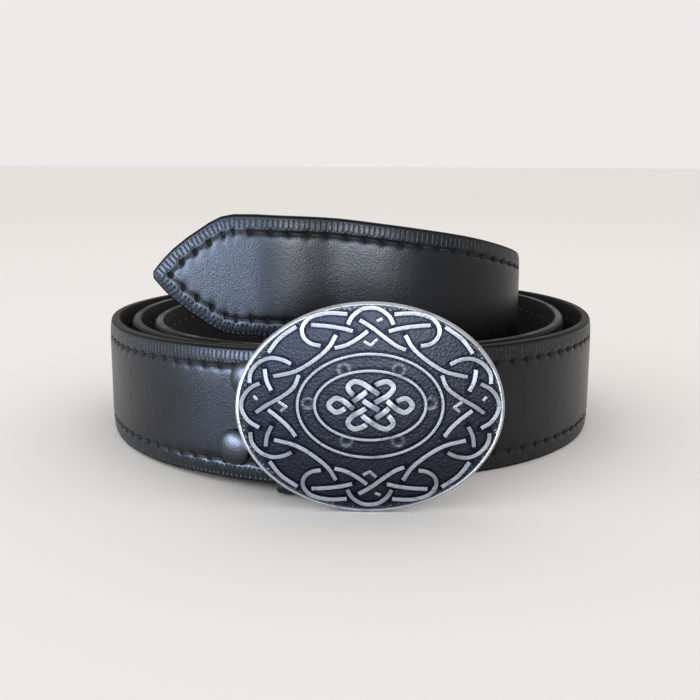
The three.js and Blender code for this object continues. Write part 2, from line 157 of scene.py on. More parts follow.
def round_edges(obj, width, segments=3, angle=60, **settings):
    """Bevel the edges that are sharper than an angle."""
    apply_modifier(
        obj, "BEVEL", width=width * MM, segments=segments,
        limit_method="ANGLE", angle_limit=math.radians(angle), **settings,
    )


def corners(obj):
    """The mesh's points as an array in mm."""
    flat = np.empty(len(obj.data.vertices) * 3)
    obj.data.vertices.foreach_get("co", flat)
    return flat.reshape(-1, 3) / MM


def move_corners(obj, points):
    """Put the mesh's points at new places, given in mm."""
    obj.data.vertices.foreach_set("co", (points * MM).ravel())
    obj.data.update()


def note(obj, name, values):
    """Keep one number per point on the mesh, for its material to read."""
    layer = obj.data.attributes.new(name, "FLOAT", "POINT")
    layer.data.foreach_set("value", np.asarray(values, dtype=np.float32))


def smooth(obj, angle=50):
    """Shade smooth, with edges sharper than the angle left crisp."""
    only(obj)
    bpy.ops.object.shade_smooth_by_angle(angle=math.radians(angle))


@contextlib.contextmanager
def editing(obj):
    """Edit mode with the whole mesh selected."""
    only(obj)
    bpy.ops.object.mode_set(mode="EDIT")
    bpy.ops.mesh.select_all(action="SELECT")
    yield
    bpy.ops.object.mode_set(mode="OBJECT")


def tidy_mesh(obj, gap=0.005):
    """Merge doubles and turn every face outward."""
    with editing(obj):
        bpy.ops.mesh.remove_doubles(threshold=gap * MM)
        bpy.ops.mesh.normals_make_consistent(inside=False)


def report(obj):
    triangles = sum(len(face.vertices) - 2 for face in obj.data.polygons)
    size = corners(obj)
    low, high = np.round(size.min(0), 1), np.round(size.max(0), 1)
    print(obj.name, triangles, "triangles, box in mm", low, high)


# %% Helpers for drawn lines and for joining
def from_profile(name, points, closed=False):
    """A new object whose mesh is a drawn line, ready to be spun or extruded."""
    obj = start_from(bpy.ops.mesh.primitive_plane_add, name, size=0.01)
    obj.data.clear_geometry()
    edges = [(k, k + 1) for k in range(len(points) - 1)]
    edges += [(len(points) - 1, 0)] if closed else []
    obj.data.from_pydata(points, edges, [])
    return obj


def draw_curve(name, points, closed=False, dimensions="3D"):
    """A curve object through points given in mm, standing upright all along."""
    curve = bpy.data.curves.new(name, "CURVE")
    curve.dimensions = dimensions
    curve.twist_mode = "Z_UP"
    spline = curve.splines.new("POLY")
    spline.points.add(len(points) - 1)
    spline.points.foreach_set("co", np.column_stack([points * MM, np.ones(len(points))]).ravel())
    spline.use_cyclic_u = closed
    obj = bpy.data.objects.new(name, curve)
    bpy.context.scene.collection.objects.link(obj)
    return obj


def join(pieces, name):
    """Join objects into one and give it a name."""
    bpy.ops.object.select_all(action="DESELECT")
    for piece in pieces:
        piece.select_set(True)
    bpy.context.view_layer.objects.active = pieces[0]
    bpy.ops.object.join()
    return named(name)


# %% [markdown]
# ## The line of the coil
# A belt is cut flat and then rolled, so its path is found first. The reach
# from the middle is read off the table and joined up smoothly. The path
# starts at the end of the folded tab, goes round the buckle's bar, and runs
# along the coil to the point.

# %% The path of the leather
def smooth_table(keys, values, at):
    """A smooth line through the rows of a table."""
    slope = np.empty_like(values)
    slope[1:-1] = (values[2:] - values[:-2]) / (keys[2:] - keys[:-2])
    slope[0] = (values[1] - values[0]) / (keys[1] - keys[0])
    slope[-1] = (values[-1] - values[-2]) / (keys[-1] - keys[-2])
    i = np.clip(np.searchsorted(keys, at, side="right") - 1, 0, len(keys) - 2)
    gap = keys[i + 1] - keys[i]
    u = (at - keys[i]) / gap
    return (
        (2 * u**3 - 3 * u**2 + 1) * values[i]
        + (u**3 - 2 * u**2 + u) * gap * slope[i]
        + (-2 * u**3 + 3 * u**2) * values[i + 1]
        + (u**3 - u**2) * gap * slope[i + 1]
    )


def run_along(points):
    """How far along a chain of points each one lies."""
    steps = np.linalg.norm(np.diff(points, axis=0), axis=1)
    return np.concatenate([[0], np.cumsum(steps)])


turns = np.arange(0, COIL[-1, 0] + 1)
reach = smooth_table(COIL[:, 0], COIL[:, 1], turns)
lift = np.maximum(0, smooth_table(COIL[:, 0], COIL[:, 2], turns))
around = np.radians(turns)
coil = np.column_stack([-reach * np.sin(around), -reach * np.cos(around), lift])
last_step = coil[-1] - coil[-2]
last_run = last_step / np.linalg.norm(last_step) * TIP_STRAIGHT * (1, 1, 0) - (0, 0, TIP_FALL)
coil = np.vstack([coil, coil[-1] + np.arange(1, TIP_STEPS + 1)[:, None] / TIP_STEPS * last_run])
coil_run = run_along(coil)
COIL_LENGTH = coil_run[-1]


def on_coil(distance):
    """Point, direction and outward direction at a distance along the coil."""
    spot = np.array([np.interp(distance, coil_run, coil[:, k]) for k in range(3)])
    ends = [max(0, distance - 1.5), min(COIL_LENGTH, distance + 1.5)]
    a, b = (np.array([np.interp(e, coil_run, coil[:, k]) for k in range(3)]) for e in ends)
    along = (b - a) * (1, 1, 0)
    along = along / np.linalg.norm(along)
    return spot, along, np.array([-along[1], along[0], 0])


start, start_along, start_out = on_coil(0)
BAR = start - FOLD_RADIUS * start_out
tab = []
for distance in np.linspace(TAB_LENGTH, 0, 22)[:-1]:
    spot, _, out = on_coil(distance)
    closing = np.clip((distance - TAB_CLOSES[0]) / TAB_CLOSES[1], 0, 1)
    closing = closing * closing * (3 - 2 * closing)
    tab.append(spot - out * (2 * FOLD_RADIUS + closing * (LAYER + TAB_GAP - 2 * FOLD_RADIUS)))
fold = [
    BAR - FOLD_RADIUS * (math.cos(a) * start_out + math.sin(a) * start_along)
    for a in np.linspace(0, math.pi, 19)[:-1]
]
path = np.vstack([tab, fold, coil]) + PLAN_SHIFT + (0, 0, STRAP_WIDTH / 2)
PATH_LENGTH = run_along(path)[-1]
print("coil", round(COIL_LENGTH, 1), "mm, with its folded end", round(PATH_LENGTH, 1), "mm")

# %% [markdown]
# The path becomes a curve object. A Curve modifier will later bend flat
# pieces along it. Its twist is set to Z up, so the band stands on its edge
# all the way round.

# %% The bending curve
bend_line = draw_curve("bend_line", path)


def bend(obj):
    """Bend a flat piece along the coil: its X runs along, +Y faces outward."""
    apply_modifier(obj, "CURVE", object=bend_line, deform_axis="POS_X")


# %% [markdown]
# ## The stitch line
# The stitches run 5.7 mm in from the edge and turn with the point. The line
# is found first, because the columns of the strap's grid are set where the
# stitch holes are. Distances along it are counted from the point, where the
# first hole is.

# %% The outline of the pointed end and the stitch line inside it
def half_width(distance_from_point):
    return np.interp(distance_from_point, POINT[:, 0], POINT[:, 1])


outline_x = np.linspace(0, 60, 241)
outline = np.vstack([[(0, 0)], np.column_stack([outline_x, half_width(outline_x)])])
slope = np.gradient(outline[1:], axis=0)
slope = slope / np.linalg.norm(slope, axis=1)[:, None]


def line_inside(inset):
    """A line that follows the outline at an inset, counted from the point."""
    side = outline[1:] + inset * np.column_stack([slope[:, 1], -slope[:, 0]])
    side = side[side[:, 1] > 0]
    side = np.vstack([side[0] * (1, 0), side])
    run = run_along(side)
    return side, run, run[-1] - side[-1, 0]


stitch_side, stitch_run, STITCH_OFFSET = line_inside(BORDER)
DASH_MIDDLE = 2.7
dash_side, dash_run, DASH_OFFSET = line_inside(DASH_MIDDLE)


def along_chain(points, chain, chain_run):
    """Distance to a chain of points, and how far along it the nearest spot is."""
    legs = np.diff(chain, axis=0)
    length2 = (legs**2).sum(1)
    away = points[:, None, :] - chain[None, :-1, :]
    share = np.clip((away * legs).sum(2) / np.maximum(length2, 1e-9), 0, 1)
    gaps = np.linalg.norm(away - share[:, :, None] * legs, axis=2)
    best = gaps.argmin(axis=1)
    which = np.arange(len(points))
    return gaps[which, best], chain_run[best] + share[which, best] * np.sqrt(length2[best])


def edge_and_run(flat_points):
    """Distance from the edge, and run along the stitch line from the point."""
    from_point = PATH_LENGTH - flat_points[:, 0]
    up = np.abs(flat_points[:, 2])
    edge = STRAP_WIDTH / 2 - up
    run = from_point + STITCH_OFFSET
    near = from_point < 45
    tip = np.column_stack([from_point[near], up[near]])
    edge[near] = along_chain(tip, outline, run_along(outline))[0]
    run[near] = along_chain(tip, stitch_side, stitch_run)[1]
    dash = from_point + DASH_OFFSET
    dash[near] = along_chain(tip, dash_side, dash_run)[1]
    return edge, run, dash


print("the stitch line is", round(float(STITCH_OFFSET), 2), "mm longer than the strap's middle")

# %% [markdown]
# ## The strap, flat
# A real strap is cut from one hide, its border is creased down and its edges
# are rounded and dyed. Here a grid is stretched to the strap's length, with
# four columns to a stitch and its rows close together at the border, and its
# end is drawn to a point. Solidify gives it the thickness of the leather and
# Bevel rounds its edges.

# %% The flat sheet
ROW_INSETS = np.array([0, 1.2, 2.2, 3.4, 4.5, 5.15, 5.7, 6.25, 7.0, 8.2, 10.5, 13.5, 16.5, 20])
EDGE_OUT = 0.95
EDGE_ROUND = 0.72
HOLE_HALF = 0.6
first_hole = math.ceil((POINT[-1, 0] + STITCH_OFFSET + 2) / STITCH_PITCH)
last_hole = int((PATH_LENGTH + STITCH_OFFSET - 2) / STITCH_PITCH)
stitch_holes = np.arange(first_hole, last_hole + 1) * STITCH_PITCH - STITCH_OFFSET
straight_columns = (stitch_holes[:, None] + (-HOLE_HALF, 0, HOLE_HALF, STITCH_PITCH / 2)).ravel()
tip_columns = np.append(0, np.linspace(1.0, straight_columns[0], 55, endpoint=False))
columns = PATH_LENGTH - np.concatenate([tip_columns, straight_columns[:-1], [PATH_LENGTH]])[::-1]
rows = 2 * (len(ROW_INSETS) - 1)
strap = start_from(
    bpy.ops.mesh.primitive_grid_add, "strap_leather",
    x_subdivisions=len(columns) - 1, y_subdivisions=rows, size=2, rotation=(-math.pi / 2, 0, 0),
)
sheet = corners(strap) * MM
row = np.abs(sheet[:, 2]) * (len(ROW_INSETS) - 1)
inset = np.interp(len(ROW_INSETS) - 1 - row, np.arange(len(ROW_INSETS)), ROW_INSETS)
column = np.rint((sheet[:, 0] + 1) / 2 * (len(columns) - 1)).astype(int)
along = columns[column]
half = half_width(PATH_LENGTH - along)
# Rows up to KNEE keep their distance from the edge round the point too
KNEE = 7.0
lean = np.abs(half_width(PATH_LENGTH - along + 0.5) - half_width(PATH_LENGTH - along - 0.5))
knee_depth = np.minimum(KNEE * np.sqrt(1 + lean**2), 0.8 * half)
past_knee = np.clip((inset - KNEE) / (STRAP_WIDTH / 2 - KNEE), 0, 1)
border_up = half - knee_depth * inset / KNEE
row_up = np.where(inset <= KNEE, border_up, (half - knee_depth) * (1 - past_knee))
flat = np.column_stack([along, np.full(len(along), EDGE_OUT), np.sign(sheet[:, 2]) * row_up])
move_corners(strap, flat)
apply_modifier(strap, "SOLIDIFY", thickness=(EDGE_OUT - STRAP_BACK) * MM, offset=-1)
round_edges(strap, EDGE_ROUND, use_clamp_overlap=False)
report(strap)

# %% [markdown]
# The face is then shaped by each spot's distance from the edge: a rounded
# border, the groove that the stitches lie in, and a middle that stands a
# little higher. At each stitch hole the leather is drawn down, and between
# two holes it puckers up beside the groove.

# %% Border, groove, stitch holes and puckers
flat = corners(strap)
edge, run, dash = edge_and_run(flat)
PROFILE_EDGE = np.array([0, 1.0, 2.4, 4.5, 5.2, 5.7, 6.2, 7.0, 9.0, 14.0, 20.0])
PROFILE_OUT = np.array([0.95, 1.3, 1.56, 1.7, 1.64, 1.5, 1.64, 1.76, 1.82, 1.82, 1.8])
HOLE_DEPTH, HOLE_SPREAD = 0.9, 0.65
DRAWN_DEPTH, DRAWN_SPREAD = 0.14, 1.4
PUCKER = 0.07
# Middle and spread of the puckers inside and outside the groove
PUCKER_INSIDE, PUCKER_OUTSIDE, OUTSIDE_SHARE = (6.9, 0.8), (4.5, 0.7), 0.6


def swell(distance, spread):
    """1 at no distance, falling off smoothly beyond the spread."""
    return np.exp(-((distance / spread) ** 2))


grain_side = flat[:, 1] > -0.4
to_hole = np.abs((run + STITCH_PITCH / 2) % STITCH_PITCH - STITCH_PITCH / 2)
from_hole = np.hypot(to_hole, edge - BORDER)
shaped = np.interp(edge, PROFILE_EDGE, PROFILE_OUT) - EDGE_OUT
shaped -= HOLE_DEPTH * swell(from_hole, HOLE_SPREAD) + DRAWN_DEPTH * swell(from_hole, DRAWN_SPREAD)
(inner_at, inner_spread), (outer_at, outer_spread) = PUCKER_INSIDE, PUCKER_OUTSIDE
beside = swell(edge - inner_at, inner_spread) + OUTSIDE_SHARE * swell(edge - outer_at, outer_spread)
shaped -= PUCKER * beside * np.cos(2 * math.pi * run / STITCH_PITCH)
flat[grain_side, 1] += shaped[grain_side]
move_corners(strap, flat)
note(strap, "edge_mm", edge)
note(strap, "run_mm", run)
note(strap, "dash_mm", dash)
note(strap, "flesh", flat[:, 1] < -1.0)

# %% [markdown]
# ## Holes for the hook
# The hook on the plate's back catches one of a row of round holes. They are
# punched through the flat strap with one punch, copied along the row.

# %% Punch the holes
punch = start_from(
    bpy.ops.mesh.primitive_cylinder_add, "punch",
    vertices=28, radius=HOLE_RADIUS * MM, depth=12 * MM, rotation=(math.pi / 2, 0, 0),
)
apply_modifier(
    punch, "ARRAY", count=HOLE_COUNT, use_relative_offset=False,
    use_constant_offset=True, constant_offset_displace=(-HOLE_PITCH * MM, 0, 0),
)
punch.location.x = (PATH_LENGTH - FIRST_HOLE) * MM
set_in_place(punch)
apply_modifier(strap, "BOOLEAN", object=punch, operation="DIFFERENCE", solver="EXACT")
bpy.data.objects.remove(punch)
report(strap)

# %% [markdown]
# ## Stitches
# Waxed thread lies in the groove between neighbouring holes. One stitch is a
# short rod with its ends drawn down into the leather. It is modelled once and
# copied to every place along both edges and round the point, on the face in
# black and on the inner side in brown.

# %% One stitch
STITCH_LENGTH = 4.3
STITCH_RADIUS = 0.4
STITCH_FLATNESS, END_DEPTH, END_NARROWS, STITCH_LEAN = 0.8, 0.95, 0.35, 0.045


def one_stitch(name):
    stitch = start_from(
        bpy.ops.mesh.primitive_cylinder_add, name,
        vertices=8, radius=STITCH_RADIUS * MM, depth=STITCH_LENGTH * MM,
        rotation=(0, math.pi / 2, 0), end_fill_type="TRIFAN",
    )
    for cut in (-0.36, -0.2, 0, 0.2, 0.36):
        with editing(stitch):
            bpy.ops.mesh.bisect(plane_co=(cut * STITCH_LENGTH * MM, 0, 0), plane_no=(1, 0, 0))
    shape = corners(stitch)
    toward_end = np.abs(shape[:, 0]) / (STITCH_LENGTH / 2)
    shape[:, 1] *= STITCH_FLATNESS
    shape[:, 1] -= END_DEPTH * toward_end**3
    shape[:, 2] *= 1 - END_NARROWS * toward_end**2
    shape[:, 2] += STITCH_LEAN * shape[:, 0]
    move_corners(stitch, shape)
    return stitch


def stitch_places():
    """Middle and direction of each stitch on the flat strap."""
    count = int((PATH_LENGTH + STITCH_OFFSET) / STITCH_PITCH) - 1
    middles = (np.arange(count) + 0.5) * STITCH_PITCH
    places = []
    for side in (-1, 1):
        for middle in middles:
            ends = []
            for reach_to in (middle - 0.5, middle + 0.5):
                if reach_to < stitch_run[-1]:
                    back = np.interp(reach_to, stitch_run, stitch_side[:, 0])
                    up = np.interp(reach_to, stitch_run, stitch_side[:, 1])
                else:
                    back, up = reach_to - STITCH_OFFSET, STRAP_WIDTH / 2 - BORDER
                ends.append((PATH_LENGTH - back, side * up))
            (x0, z0), (x1, z1) = ends
            places.append(((x0 + x1) / 2, (z0 + z1) / 2, math.atan2(z0 - z1, x0 - x1)))
    return places


def sew(stitch, height, flip, wobble):
    """Copy a stitch to every place and bend the row along the coil."""
    pieces = []
    for number, (x, z, lean) in enumerate(stitch_places()):
        copy = stitch.copy()
        copy.data = stitch.data.copy()
        bpy.context.scene.collection.objects.link(copy)
        sway = wobble * math.sin(number * 2.4) * math.cos(number * 0.37)
        copy.matrix_world = (
            Matrix.Translation(Vector((x, height, z)) * MM)
            @ Matrix.Rotation(-lean + sway, 4, "Y")
            @ Matrix.Diagonal((1, -1 if flip else 1, 1, 1))
        )
        pieces.append(copy)
    sewn = join(pieces, stitch.name + "_row")
    set_in_place(sewn)
    bpy.data.objects.remove(stitch)
    if flip:
        tidy_mesh(sewn, gap=0.0005)
    bend(sewn)
    smooth(sewn)
    report(sewn)
    return sewn


face_thread = sew(one_stitch("face_thread"), 1.46, False, 0.05)
inner_thread = sew(one_stitch("inner_thread"), STRAP_BACK + 0.12, True, 0.08)

# %% Bend the strap
bend(strap)
smooth(strap, 40)
report(strap)
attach(strap, "belt")
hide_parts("strap")
for thread in (face_thread, inner_thread):
    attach(thread, "belt")

# %% [markdown]
# ## The buckle plate
# The plate is a cast oval, gently domed, with a bevelled rim. A turner would
# cut its profile on a lathe, so the profile is drawn once from the middle of
# the face over the rim to the back, spun a full turn, and stretched to an oval.

# %% The plate's profile, spun and stretched
PLATE_AT = np.array([8.0, -106.0, 29.3])
PLATE_HALF = (36.4, 29.15)
CROWN = 2.2
PLATE_THICK = 2.3
SPIN_STEPS = 256
GROUND_RINGS = 78
RIM_INNER, RIM_TOP, RIM_OUTER = 0.966, 0.975, 0.984


def crown(share):
    """How far the ground of the face stands in front of the rim's plane."""
    return CROWN * (1 - share**2)


def plate_profile():
    """Share of the half width, and depth toward the viewer, in mm."""
    ground = [(share, crown(share)) for share in np.linspace(0.0, RIM_INNER, GROUND_RINGS)]
    rim = [
        (0.969, crown(0.969) + 0.22), (0.9715, crown(0.9715) + 0.4), (RIM_TOP, crown(RIM_TOP) + 0.47),
        (RIM_OUTER, crown(RIM_OUTER) + 0.42), (0.99, crown(0.99) + 0.24), (0.996, crown(0.996) - 0.05),
        (0.999, -0.42), (1.0, -0.8), (0.998, -1.3), (0.99, -1.75), (0.975, -2.0),
    ]
    back = [(share, crown(share) - PLATE_THICK) for share in np.linspace(0.96, 0.0, 26)]
    return ground + rim + back


profile = [(share, -depth * MM, 0) for share, depth in plate_profile()]
plate = from_profile("plate_body", profile)
with editing(plate):
    bpy.ops.mesh.spin(steps=SPIN_STEPS, angle=2 * math.pi, center=(0, 0, 0), axis=(0, 1, 0))
    bpy.ops.mesh.select_all(action="SELECT")
    bpy.ops.mesh.remove_doubles(threshold=1e-6)
    bpy.ops.transform.resize(value=(PLATE_HALF[0] * MM, 1, PLATE_HALF[1] * MM))
    bpy.ops.mesh.select_all(action="SELECT")
    bpy.ops.mesh.normals_make_consistent(inside=False)
report(plate)

# %% [markdown]
# ## The knotwork
# The raised lines are a traditional interlace. Only the strands of one part
# are listed; the others are their mirror images. Each strand is given by a few
# spots on the plate, in mm across and up from its middle, joined by a smooth
# curve.

# %% The strands
PATTERN_ACROSS, PATTERN_UP, PATTERN_RISE = 0.975, 0.989, 0.5
STRANDS = [
    ("upper_loop", "xz", [
        (-6.1, 25.8), (-11.9, 26), (-16.7, 24.6), (-18.6, 22),
        (-18.2, 19.6), (-16.2, 17.9), (-13.3, 17.3),
    ]),
    ("inner_line", "xz", [(-16.4, 22.9), (-11.9, 22.6), (-7.7, 22), (-4.6, 21.2)]),
    ("long_curve", "xz", [(-9.3, 20.4), (-11.4, 16.9), (-15.1, 13.6), (-20.4, 10.4), (-26.7, 8.8)]),
    ("rim_arc", "xz", [(-28, 15), (-24.9, 19), (-20, 22.5)]),
    ("side_hook", "xz", [
        (-33.1, 6.6), (-32.8, 9.6), (-30.6, 12.4), (-27.4, 13.8), (-24, 13.4), (-21.4, 12.2),
    ]),
    ("side_bar", "xz", [(-28.9, 11), (-28.4, 7.7), (-27, 4.7)]),
    ("top_arch", "z", [
        (-6.3, 22.8), (-5, 25.2), (-2.4, 27.1), (0, 27.5), (2.4, 27.1), (5, 25.2), (6.3, 22.8),
    ]),
    ("over_diagonal", "z", [(-3.2, 24.4), (0.3, 22.3), (4, 19.5), (7.2, 17.3), (9.8, 16.3)]),
    ("under_diagonal", "z", [(-10, 16.7), (-6.6, 17.6), (-3.4, 19.4), (-0.6, 21.5)]),
    ("end_loop", "x", [
        (-30, 7), (-33, 5.4), (-35.2, 2.3), (-35.4, -0.5), (-33.5, -3.7), (-30.4, -5.6),
    ]),
    ("side_curve", "x", [(-19.4, 9.6), (-20.9, 6.1), (-24.1, 3.4), (-28.7, 0.7), (-31.6, -1.4)]),
    ("cut_curve", "x", [(-28.2, -0.3), (-25.2, -2.6), (-22.3, -5.3), (-20.4, -7.9)]),
]
CORNERS = [
    ("top_chevron", "z", [(-2, 18.7), (0, 17.6), (1.9, 19.3)]),
    ("side_chevron", "x", [(-25.4, 2.1), (-23, 0.6), (-24.7, -0.8)]),
    ("top_stud", "z", [(1.4, 23.9), (3.2, 24.7)]),
    ("side_stud", "x", [(-32.1, 3.5), (-30.8, 2.1)]),
]
RINGS = [("outer_ring", 20.0, 14.35, 0.85), ("inner_ring", 15.25, 9.6, 1.05)]
KNOT_HALF = [
    (-12, 0), (-10, 2.05), (-7.8, 1.3), (-4.6, -1.4), (-2, -3.4), (2.8, -6.6), (5, -6.9), (6.5, -5.3),
    (5.3, -3.3), (2.4, -1.5), (0, 0),
]
KNOT_MIDDLE = np.array([0.1, 1.2])
KNOT_SIZE = (0.955, 0.94)


def on_pattern(points):
    points = np.asarray(points, dtype=float)
    return points * (PATTERN_ACROSS, PATTERN_UP) + (0, PATTERN_RISE)


def through(points, closed=False, step=0.26):
    """A smooth line through spots on the plate (centripetal Catmull-Rom)."""
    p = np.asarray(points, dtype=float)
    p = np.vstack([p[-1], p, p[:2]]) if closed else np.vstack([2 * p[0] - p[1], p, 2 * p[-1] - p[-2]])
    pieces = []
    for a, b, c, d in zip(p[:-3], p[1:-2], p[2:-1], p[3:]):
        gaps = [np.linalg.norm(second - first) for first, second in ((a, b), (b, c), (c, d))]
        t = np.cumsum([0] + [max(gap, 1e-6) ** 0.5 for gap in gaps])
        u = np.linspace(t[1], t[2], max(2, int(np.linalg.norm(c - b) / 0.1)), endpoint=False)[:, None]
        ab = (t[1] - u) / (t[1] - t[0]) * a + (u - t[0]) / (t[1] - t[0]) * b
        bc = (t[2] - u) / (t[2] - t[1]) * b + (u - t[1]) / (t[2] - t[1]) * c
        cd = (t[3] - u) / (t[3] - t[2]) * c + (u - t[2]) / (t[3] - t[2]) * d
        abc = (t[2] - u) / (t[2] - t[0]) * ab + (u - t[0]) / (t[2] - t[0]) * bc
        bcd = (t[3] - u) / (t[3] - t[1]) * bc + (u - t[1]) / (t[3] - t[1]) * cd
        pieces.append((t[2] - u) / (t[2] - t[1]) * abc + (u - t[1]) / (t[2] - t[1]) * bcd)
    fine = np.vstack(pieces + [p[-2:-1] if not closed else pieces[0][:1]])
    run = run_along(fine)
    at = np.linspace(0, run[-1], max(3, int(run[-1] / step) + 1))
    return np.column_stack([np.interp(at, run, fine[:, k]) for k in range(2)])


def mirrored(rule, points):
    """The points and their mirror places, left to right and top to bottom."""
    points = np.asarray(points, dtype=float)
    for across in (1, -1) if "x" in rule else (1,):
        for up in (1, -1) if "z" in rule else (1,):
            yield points * (across, up)


strand_lines = []
for name, rule, points in STRANDS:
    strand_lines += [through(on_pattern(p)) for p in mirrored(rule, points)]
ring_lines = []
for name, rx, rz, up in RINGS:
    turn = np.linspace(0, 2 * math.pi, 240, endpoint=False)
    oval = np.column_stack([rx * np.cos(turn), up + rz * np.sin(turn)])
    ring_lines.append(on_pattern(oval))
half_knot = np.array(KNOT_HALF) * KNOT_SIZE
half_knot = np.vstack([half_knot, -half_knot[-2::-1]])
other_half = half_knot[1:-1][::-1] * (1, -1)
whole_knot = on_pattern(np.vstack([half_knot, other_half]) + KNOT_MIDDLE)
knot_line = through(whole_knot, closed=True, step=0.22)[:-1]
print(len(strand_lines), "border strands,", len(ring_lines), "rings, knot of", len(knot_line), "spots")


# %% [markdown]
# Each line becomes a bar with steep sides and a nearly flat top. A curve
# object with its own cross-section gives that: the section is drawn once, and
# the curve carries it along the plate. The bar follows the dome of the plate, and in the middle
# knot it rises over and dips under at each crossing by turns.

# %% From line to raised bar
def face_depth(points):
    share2 = (points[:, 0] / PLATE_HALF[0]) ** 2 + (points[:, 1] / PLATE_HALF[1]) ** 2
    return CROWN * (1 - share2)


BELOW_GROUND = -0.5
SIDE_SHARE, SHOULDER_SHARE, NEARLY_FLAT = 0.1, 0.35, 0.89


def bar_section(name, half, height, flat_top):
    """A bar's outline across its line, closed below the ground."""
    section = [(-half, BELOW_GROUND, 0), (-half, SIDE_SHARE * height, 0)]
    for a in np.radians([180, 150, 120, 90, 60, 30, 0]):
        toward_side = round(math.cos(a), 6)
        across = flat_top * np.sign(toward_side) + (half - flat_top) * toward_side
        rise = (1 - SHOULDER_SHARE) * min(math.sin(a), NEARLY_FLAT)
        section.append((across, height * (SHOULDER_SHARE + rise), 0))
    section += [(half, SIDE_SHARE * height, 0), (half, BELOW_GROUND, 0)]
    return draw_curve(name, np.array(section), closed=True, dimensions="2D")


STRAND_END, CORNER_END, END_SIZE = 0.2, 0.15, 0.12


def raise_bar(name, points, section, closed=False, lift_by=0.0, end_round=STRAND_END):
    """A raised bar along a line on the plate, as a mesh."""
    bar = draw_curve(name, np.column_stack([points, face_depth(points) + lift_by]), closed)
    bar.data.bevel_mode = "OBJECT"
    bar.data.bevel_object = section
    bar.data.use_fill_caps = not closed
    if not closed:
        run = run_along(points)
        to_end = np.clip(np.minimum(run, run[-1] - run) / end_round, 0, 1)
        widths = np.maximum(END_SIZE, np.sqrt(to_end * (2 - to_end)))
        bar.data.splines[0].points.foreach_set("radius", widths)
    only(bar)
    bpy.ops.object.convert(target="MESH")
    return bpy.context.active_object


STRAND_SECTION = bar_section("strand_section", 0.63, 0.81, 0.38)
RING_SECTION = bar_section("ring_section", 0.45, 0.66, 0.2)
CORNER_SECTION = bar_section("corner_section", 0.5, 0.79, 0.26)
KNOT_SECTION = bar_section("knot_section", 0.78, 0.69, 0.56)
bars = [raise_bar(f"strand_{k}", p, STRAND_SECTION) for k, p in enumerate(strand_lines)]
bars += [raise_bar(f"ring_{k}", p, RING_SECTION, closed=True) for k, p in enumerate(ring_lines)]


# %% [markdown]
# ## The middle knot
# The knot is one endless line. Where it crosses itself it goes over and under
# by turns, as a plaited cord does. The crossings are found on the line, sorted
# along it, and every second one is lifted.

# %% Over and under
def crossings_along(points, apart=12):
    """Places along a closed line where it crosses itself."""
    count = len(points)
    nexts = np.roll(points, -1, axis=0)
    found = []
    for i in range(count):
        p, r = points[i], nexts[i] - points[i]
        q, s = points, nexts - points
        bottom = r[0] * s[:, 1] - r[1] * s[:, 0]
        with np.errstate(divide="ignore", invalid="ignore"):
            t = ((q[:, 0] - p[0]) * s[:, 1] - (q[:, 1] - p[1]) * s[:, 0]) / bottom
            u = ((q[:, 0] - p[0]) * r[1] - (q[:, 1] - p[1]) * r[0]) / bottom
        gap = np.abs(np.arange(count) - i)
        gap = np.minimum(gap, count - gap)
        if np.any((t >= 0) & (t < 1) & (u >= 0) & (u < 1) & (gap > apart)):
            found.append(i)
    return found


OVER_LIFT, UNDER_DROP = 0.16, 0.62
OVER_SPREAD = 1.3
crossing_spots = crossings_along(knot_line)
knot_run = run_along(knot_line)
weave = np.zeros(len(knot_line))
for number, spot in enumerate(crossing_spots):
    gap = np.abs(knot_run - knot_run[spot])
    gap = np.minimum(gap, knot_run[-1] - gap)
    weave += (OVER_LIFT if number % 2 == 0 else -UNDER_DROP) * swell(gap, OVER_SPREAD)
bars.append(raise_bar("knot", knot_line, KNOT_SECTION, closed=True, lift_by=weave))
print("the knot crosses itself", len(crossing_spots) // 2, "times")


# %% [markdown]
# The small chevrons and studs between the strands are cut from the same bar,
# with sharp corners, so their lines aren't smoothed.

# %% Chevrons and studs
for name, rule, points in CORNERS:
    for copy_points in mirrored(rule, points):
        drawn_corners = on_pattern(copy_points)
        run = run_along(drawn_corners)
        stops = np.union1d(run, np.arange(0, run[-1], 0.2))
        spots = np.column_stack([np.interp(stops, run, drawn_corners[:, k]) for k in range(2)])
        bars.append(raise_bar(f"{name}_{len(bars)}", spots, CORNER_SECTION, end_round=CORNER_END))


# %% [markdown]
# All the bars become one piece. For its tarnish, the material wants to know
# how far each spot stands above the ground, and the ground wants to know how
# near the closest bar is: the dark finish stays in the corners, with painted shade.

# %% Join the knotwork and set it on the plate
knotwork = join(bars, "plate_knotwork")
tidy_mesh(knotwork, gap=0.0005)
# The bars were drawn lying flat: across, up the plate, and out toward the reader
drawn = corners(knotwork)
above = drawn[:, 2] - face_depth(drawn)
note(knotwork, "above_mm", above)
FACE_TO_FRAME = PLATE_AT + PLAN_SHIFT
move_corners(knotwork, np.column_stack([drawn[:, 0], -drawn[:, 2], drawn[:, 1]]) + FACE_TO_FRAME)
tidy_mesh(knotwork, gap=0.0005)
smooth(knotwork, 40)
for holder in (STRAND_SECTION, RING_SECTION, CORNER_SECTION, KNOT_SECTION):
    bpy.data.objects.remove(holder)
report(knotwork)


def nearest_gap(points, spots):
    """Distance from each point to the nearest of the spots."""
    return np.linalg.norm(points[:, None, :] - spots[None, :, :], axis=2).min(axis=1)


